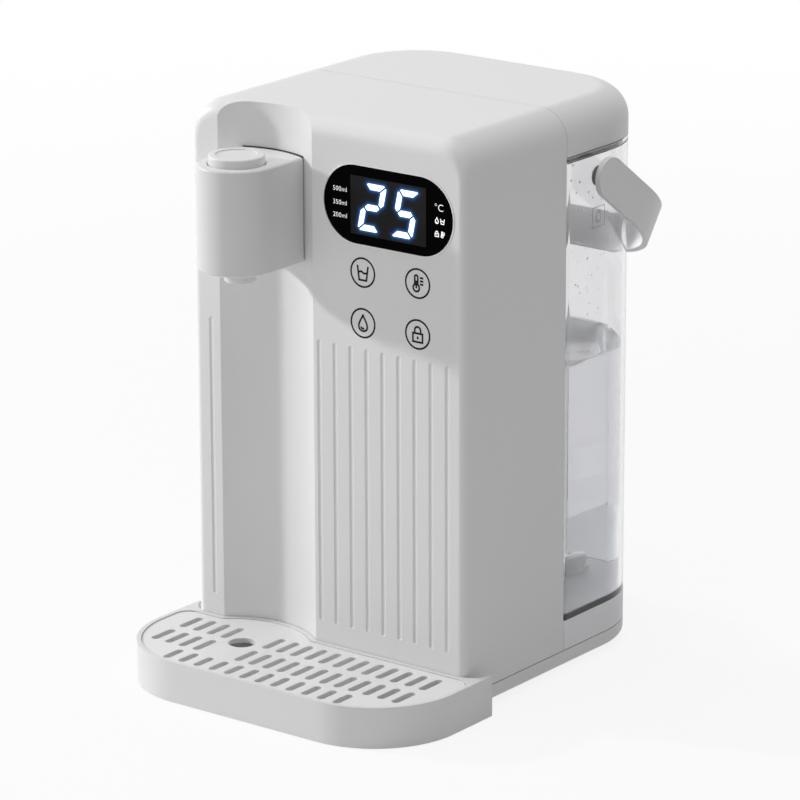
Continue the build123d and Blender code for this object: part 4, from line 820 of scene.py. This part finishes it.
def addLip(look):
    # a strip along the edge of the lid's front face: up one side, over both shoulders and down the other
    low, high = boxOf("tank_lid")
    inset = look["below"] + look["width"] / 2
    radius = look["shoulder"] - inset
    across, up = high[0] - look["shoulder"], high[2] - look["shoulder"]
    foot = high[2] - look["height"]
    path = np.concatenate([[(high[0] - inset, foot)],
                           arcPoints((across, up), radius, 0, 90, look["steps"]),
                           arcPoints((-across, up), radius, 90, 180, look["steps"]),
                           [(inset - high[0], foot)]])
    points, faces = ribbon(path, look["width"], look["thickness"])
    addPiece("lidLip", onFront(points, low[1]), faces, finishes["lid"], "tank_lid")


addLip(lipLook)
print("springs and lid lip made")

# Camera at the photograph's angle
cameraLook = {"yaw": 37.308, "pitch": 16.919, "roll": 0.178, "distance": 2.384863,
              "aside": (0.002886, 0.005742), "target": (0.0038, 0.001465, 0.1315),
              "lens": 209.36, "sensor": 36.0, "far": 100.0}


def placeCamera(look):
    # Forward looks down by the pitch and turns left by the yaw; right and down follow, then both roll.
    yaw, pitch, roll = (math.radians(look[key]) for key in ("yaw", "pitch", "roll"))
    level = math.cos(pitch)
    forward = np.array([-math.sin(yaw) * level, math.cos(yaw) * level, -math.sin(pitch)])
    across = np.array([math.cos(yaw), math.sin(yaw), 0.0])
    down = np.cross(forward, across)
    right = math.cos(roll) * across + math.sin(roll) * down
    low = math.cos(roll) * down - math.sin(roll) * across
    shift = look["aside"][0] * right + look["aside"][1] * low + look["distance"] * forward
    lens = bpy.data.cameras.new("photoCamera")
    lens.lens = look["lens"]
    lens.sensor_width = look["sensor"]
    lens.clip_end = look["far"]
    camera = bpy.data.objects.new("photoCamera", lens)
    bpy.context.scene.collection.objects.link(camera)
    pose = np.eye(4)
    pose[:3, 0] = right
    pose[:3, 1] = -low
    pose[:3, 2] = -forward
    pose[:3, 3] = np.array(look["target"]) - shift
    camera.matrix_world = Matrix(pose.tolist())
    bpy.context.scene.camera = camera


placeCamera(cameraLook)

# Lights: a small key from the left, wide soft ones above and in front, all turned to the object's middle
lampAim = np.array([0.0, 0.0, 0.14])
lampLook = {"key": {"toward": (-0.893, -0.331, 0.306), "distance": 2.6, "size": 0.18, "energy": 38.0},
            "top": {"toward": (0.0, 0.0, 1.0), "distance": 1.9, "size": 2.0, "energy": 18.5},
            "front": {"toward": (-0.3, -1.0, 0.55), "distance": 2.2, "size": 2.0, "energy": 4.2}}


def placeLamp(name, look):
    toward = np.array(look["toward"])
    toward = toward / np.linalg.norm(toward)
    lamp = bpy.data.lights.new(name, "AREA")
    lamp.shape = "DISK"
    lamp.size = look["size"]
    lamp.energy = look["energy"]
    holder = bpy.data.objects.new(name, lamp)
    holder.location = lampAim + toward * look["distance"]
    holder.rotation_mode = "QUATERNION"
    holder.rotation_quaternion = Vector(toward).to_track_quat("Z", "Y")
    bpy.context.scene.collection.objects.link(holder)


for lampName, look in lampLook.items():
    placeLamp(lampName + "Lamp", look)

# Pale surround: a dim even sky and a floor that fades to white with the distance, both white to the lens
surroundLook = {"light": 0.225, "white": (1.0, 1.0, 1.0), "floor": (0.90, 0.90, 0.90), "floorLift": 0.86,
                "fadeFrom": 0.3, "fadeTo": 1.6, "size": 30.0}


def paleSeen(tree):
    # one for rays from the lens, a mirror or a clear piece, nought for the light that falls on the object
    lens, mirror, clear = (tree.node("LightPath", output="Is %s Ray" % kind)
                           for kind in ("Camera", "Glossy", "Transmission"))
    return tree.maths("MAXIMUM", lens, tree.maths("MAXIMUM", mirror, clear))


def makeSky(look):
    world = bpy.data.worlds.new("paleSurround")
    bpy.context.scene.world = world
    world.use_nodes = True
    world.node_tree.nodes.clear()
    tree = Wire(world.node_tree)
    level = paleSeen(tree) * (1 - look["light"]) + look["light"]
    sky = tree.node("Background", None, {"Color": colour(look["white"]), "Strength": level})
    tree.node("OutputWorld", None, {"Surface": sky})


def floorFinish(name, look):
    # Matt floor that takes the shadow, under white light of its own that grows with the distance.
    finish, place = newFinish(name)
    matt = place.node("BsdfDiffuse", None, {"Color": colour(look["floor"])})
    glow = place.node("Emission", None, {"Color": colour(look["white"]), "Strength": 1.0})
    away = place.node("VectorMath", {"operation": "LENGTH"}, {0: place}, output="Value")
    fade = place.node("MapRange", {"interpolation_type": "SMOOTHSTEP"},
                      {"Value": away, "From Min": look["fadeFrom"], "From Max": look["fadeTo"],
                       "To Min": look["floorLift"], "To Max": 1.0})
    mixed = place.node("MixShader", None, {0: paleSeen(place) * fade, 1: matt, 2: glow})
    place.node("OutputMaterial", None, {"Surface": mixed})
    return finish


def makeFloor(look):
    half = look["size"] / 2
    mesh = bpy.data.meshes.new("floor")
    corners = [(-half, -half, 0.0), (half, -half, 0.0), (half, half, 0.0), (-half, half, 0.0)]
    mesh.from_pydata(corners, [], [(0, 1, 2, 3)])
    mesh.materials.append(floorFinish("paleFloor", look))
    floor = bpy.data.objects.new("floor", mesh)
    bpy.context.scene.collection.objects.link(floor)


makeSky(surroundLook)
makeFloor(surroundLook)
bpy.context.scene.view_settings.view_transform = "Standard"
print("camera, lamps and floor placed")
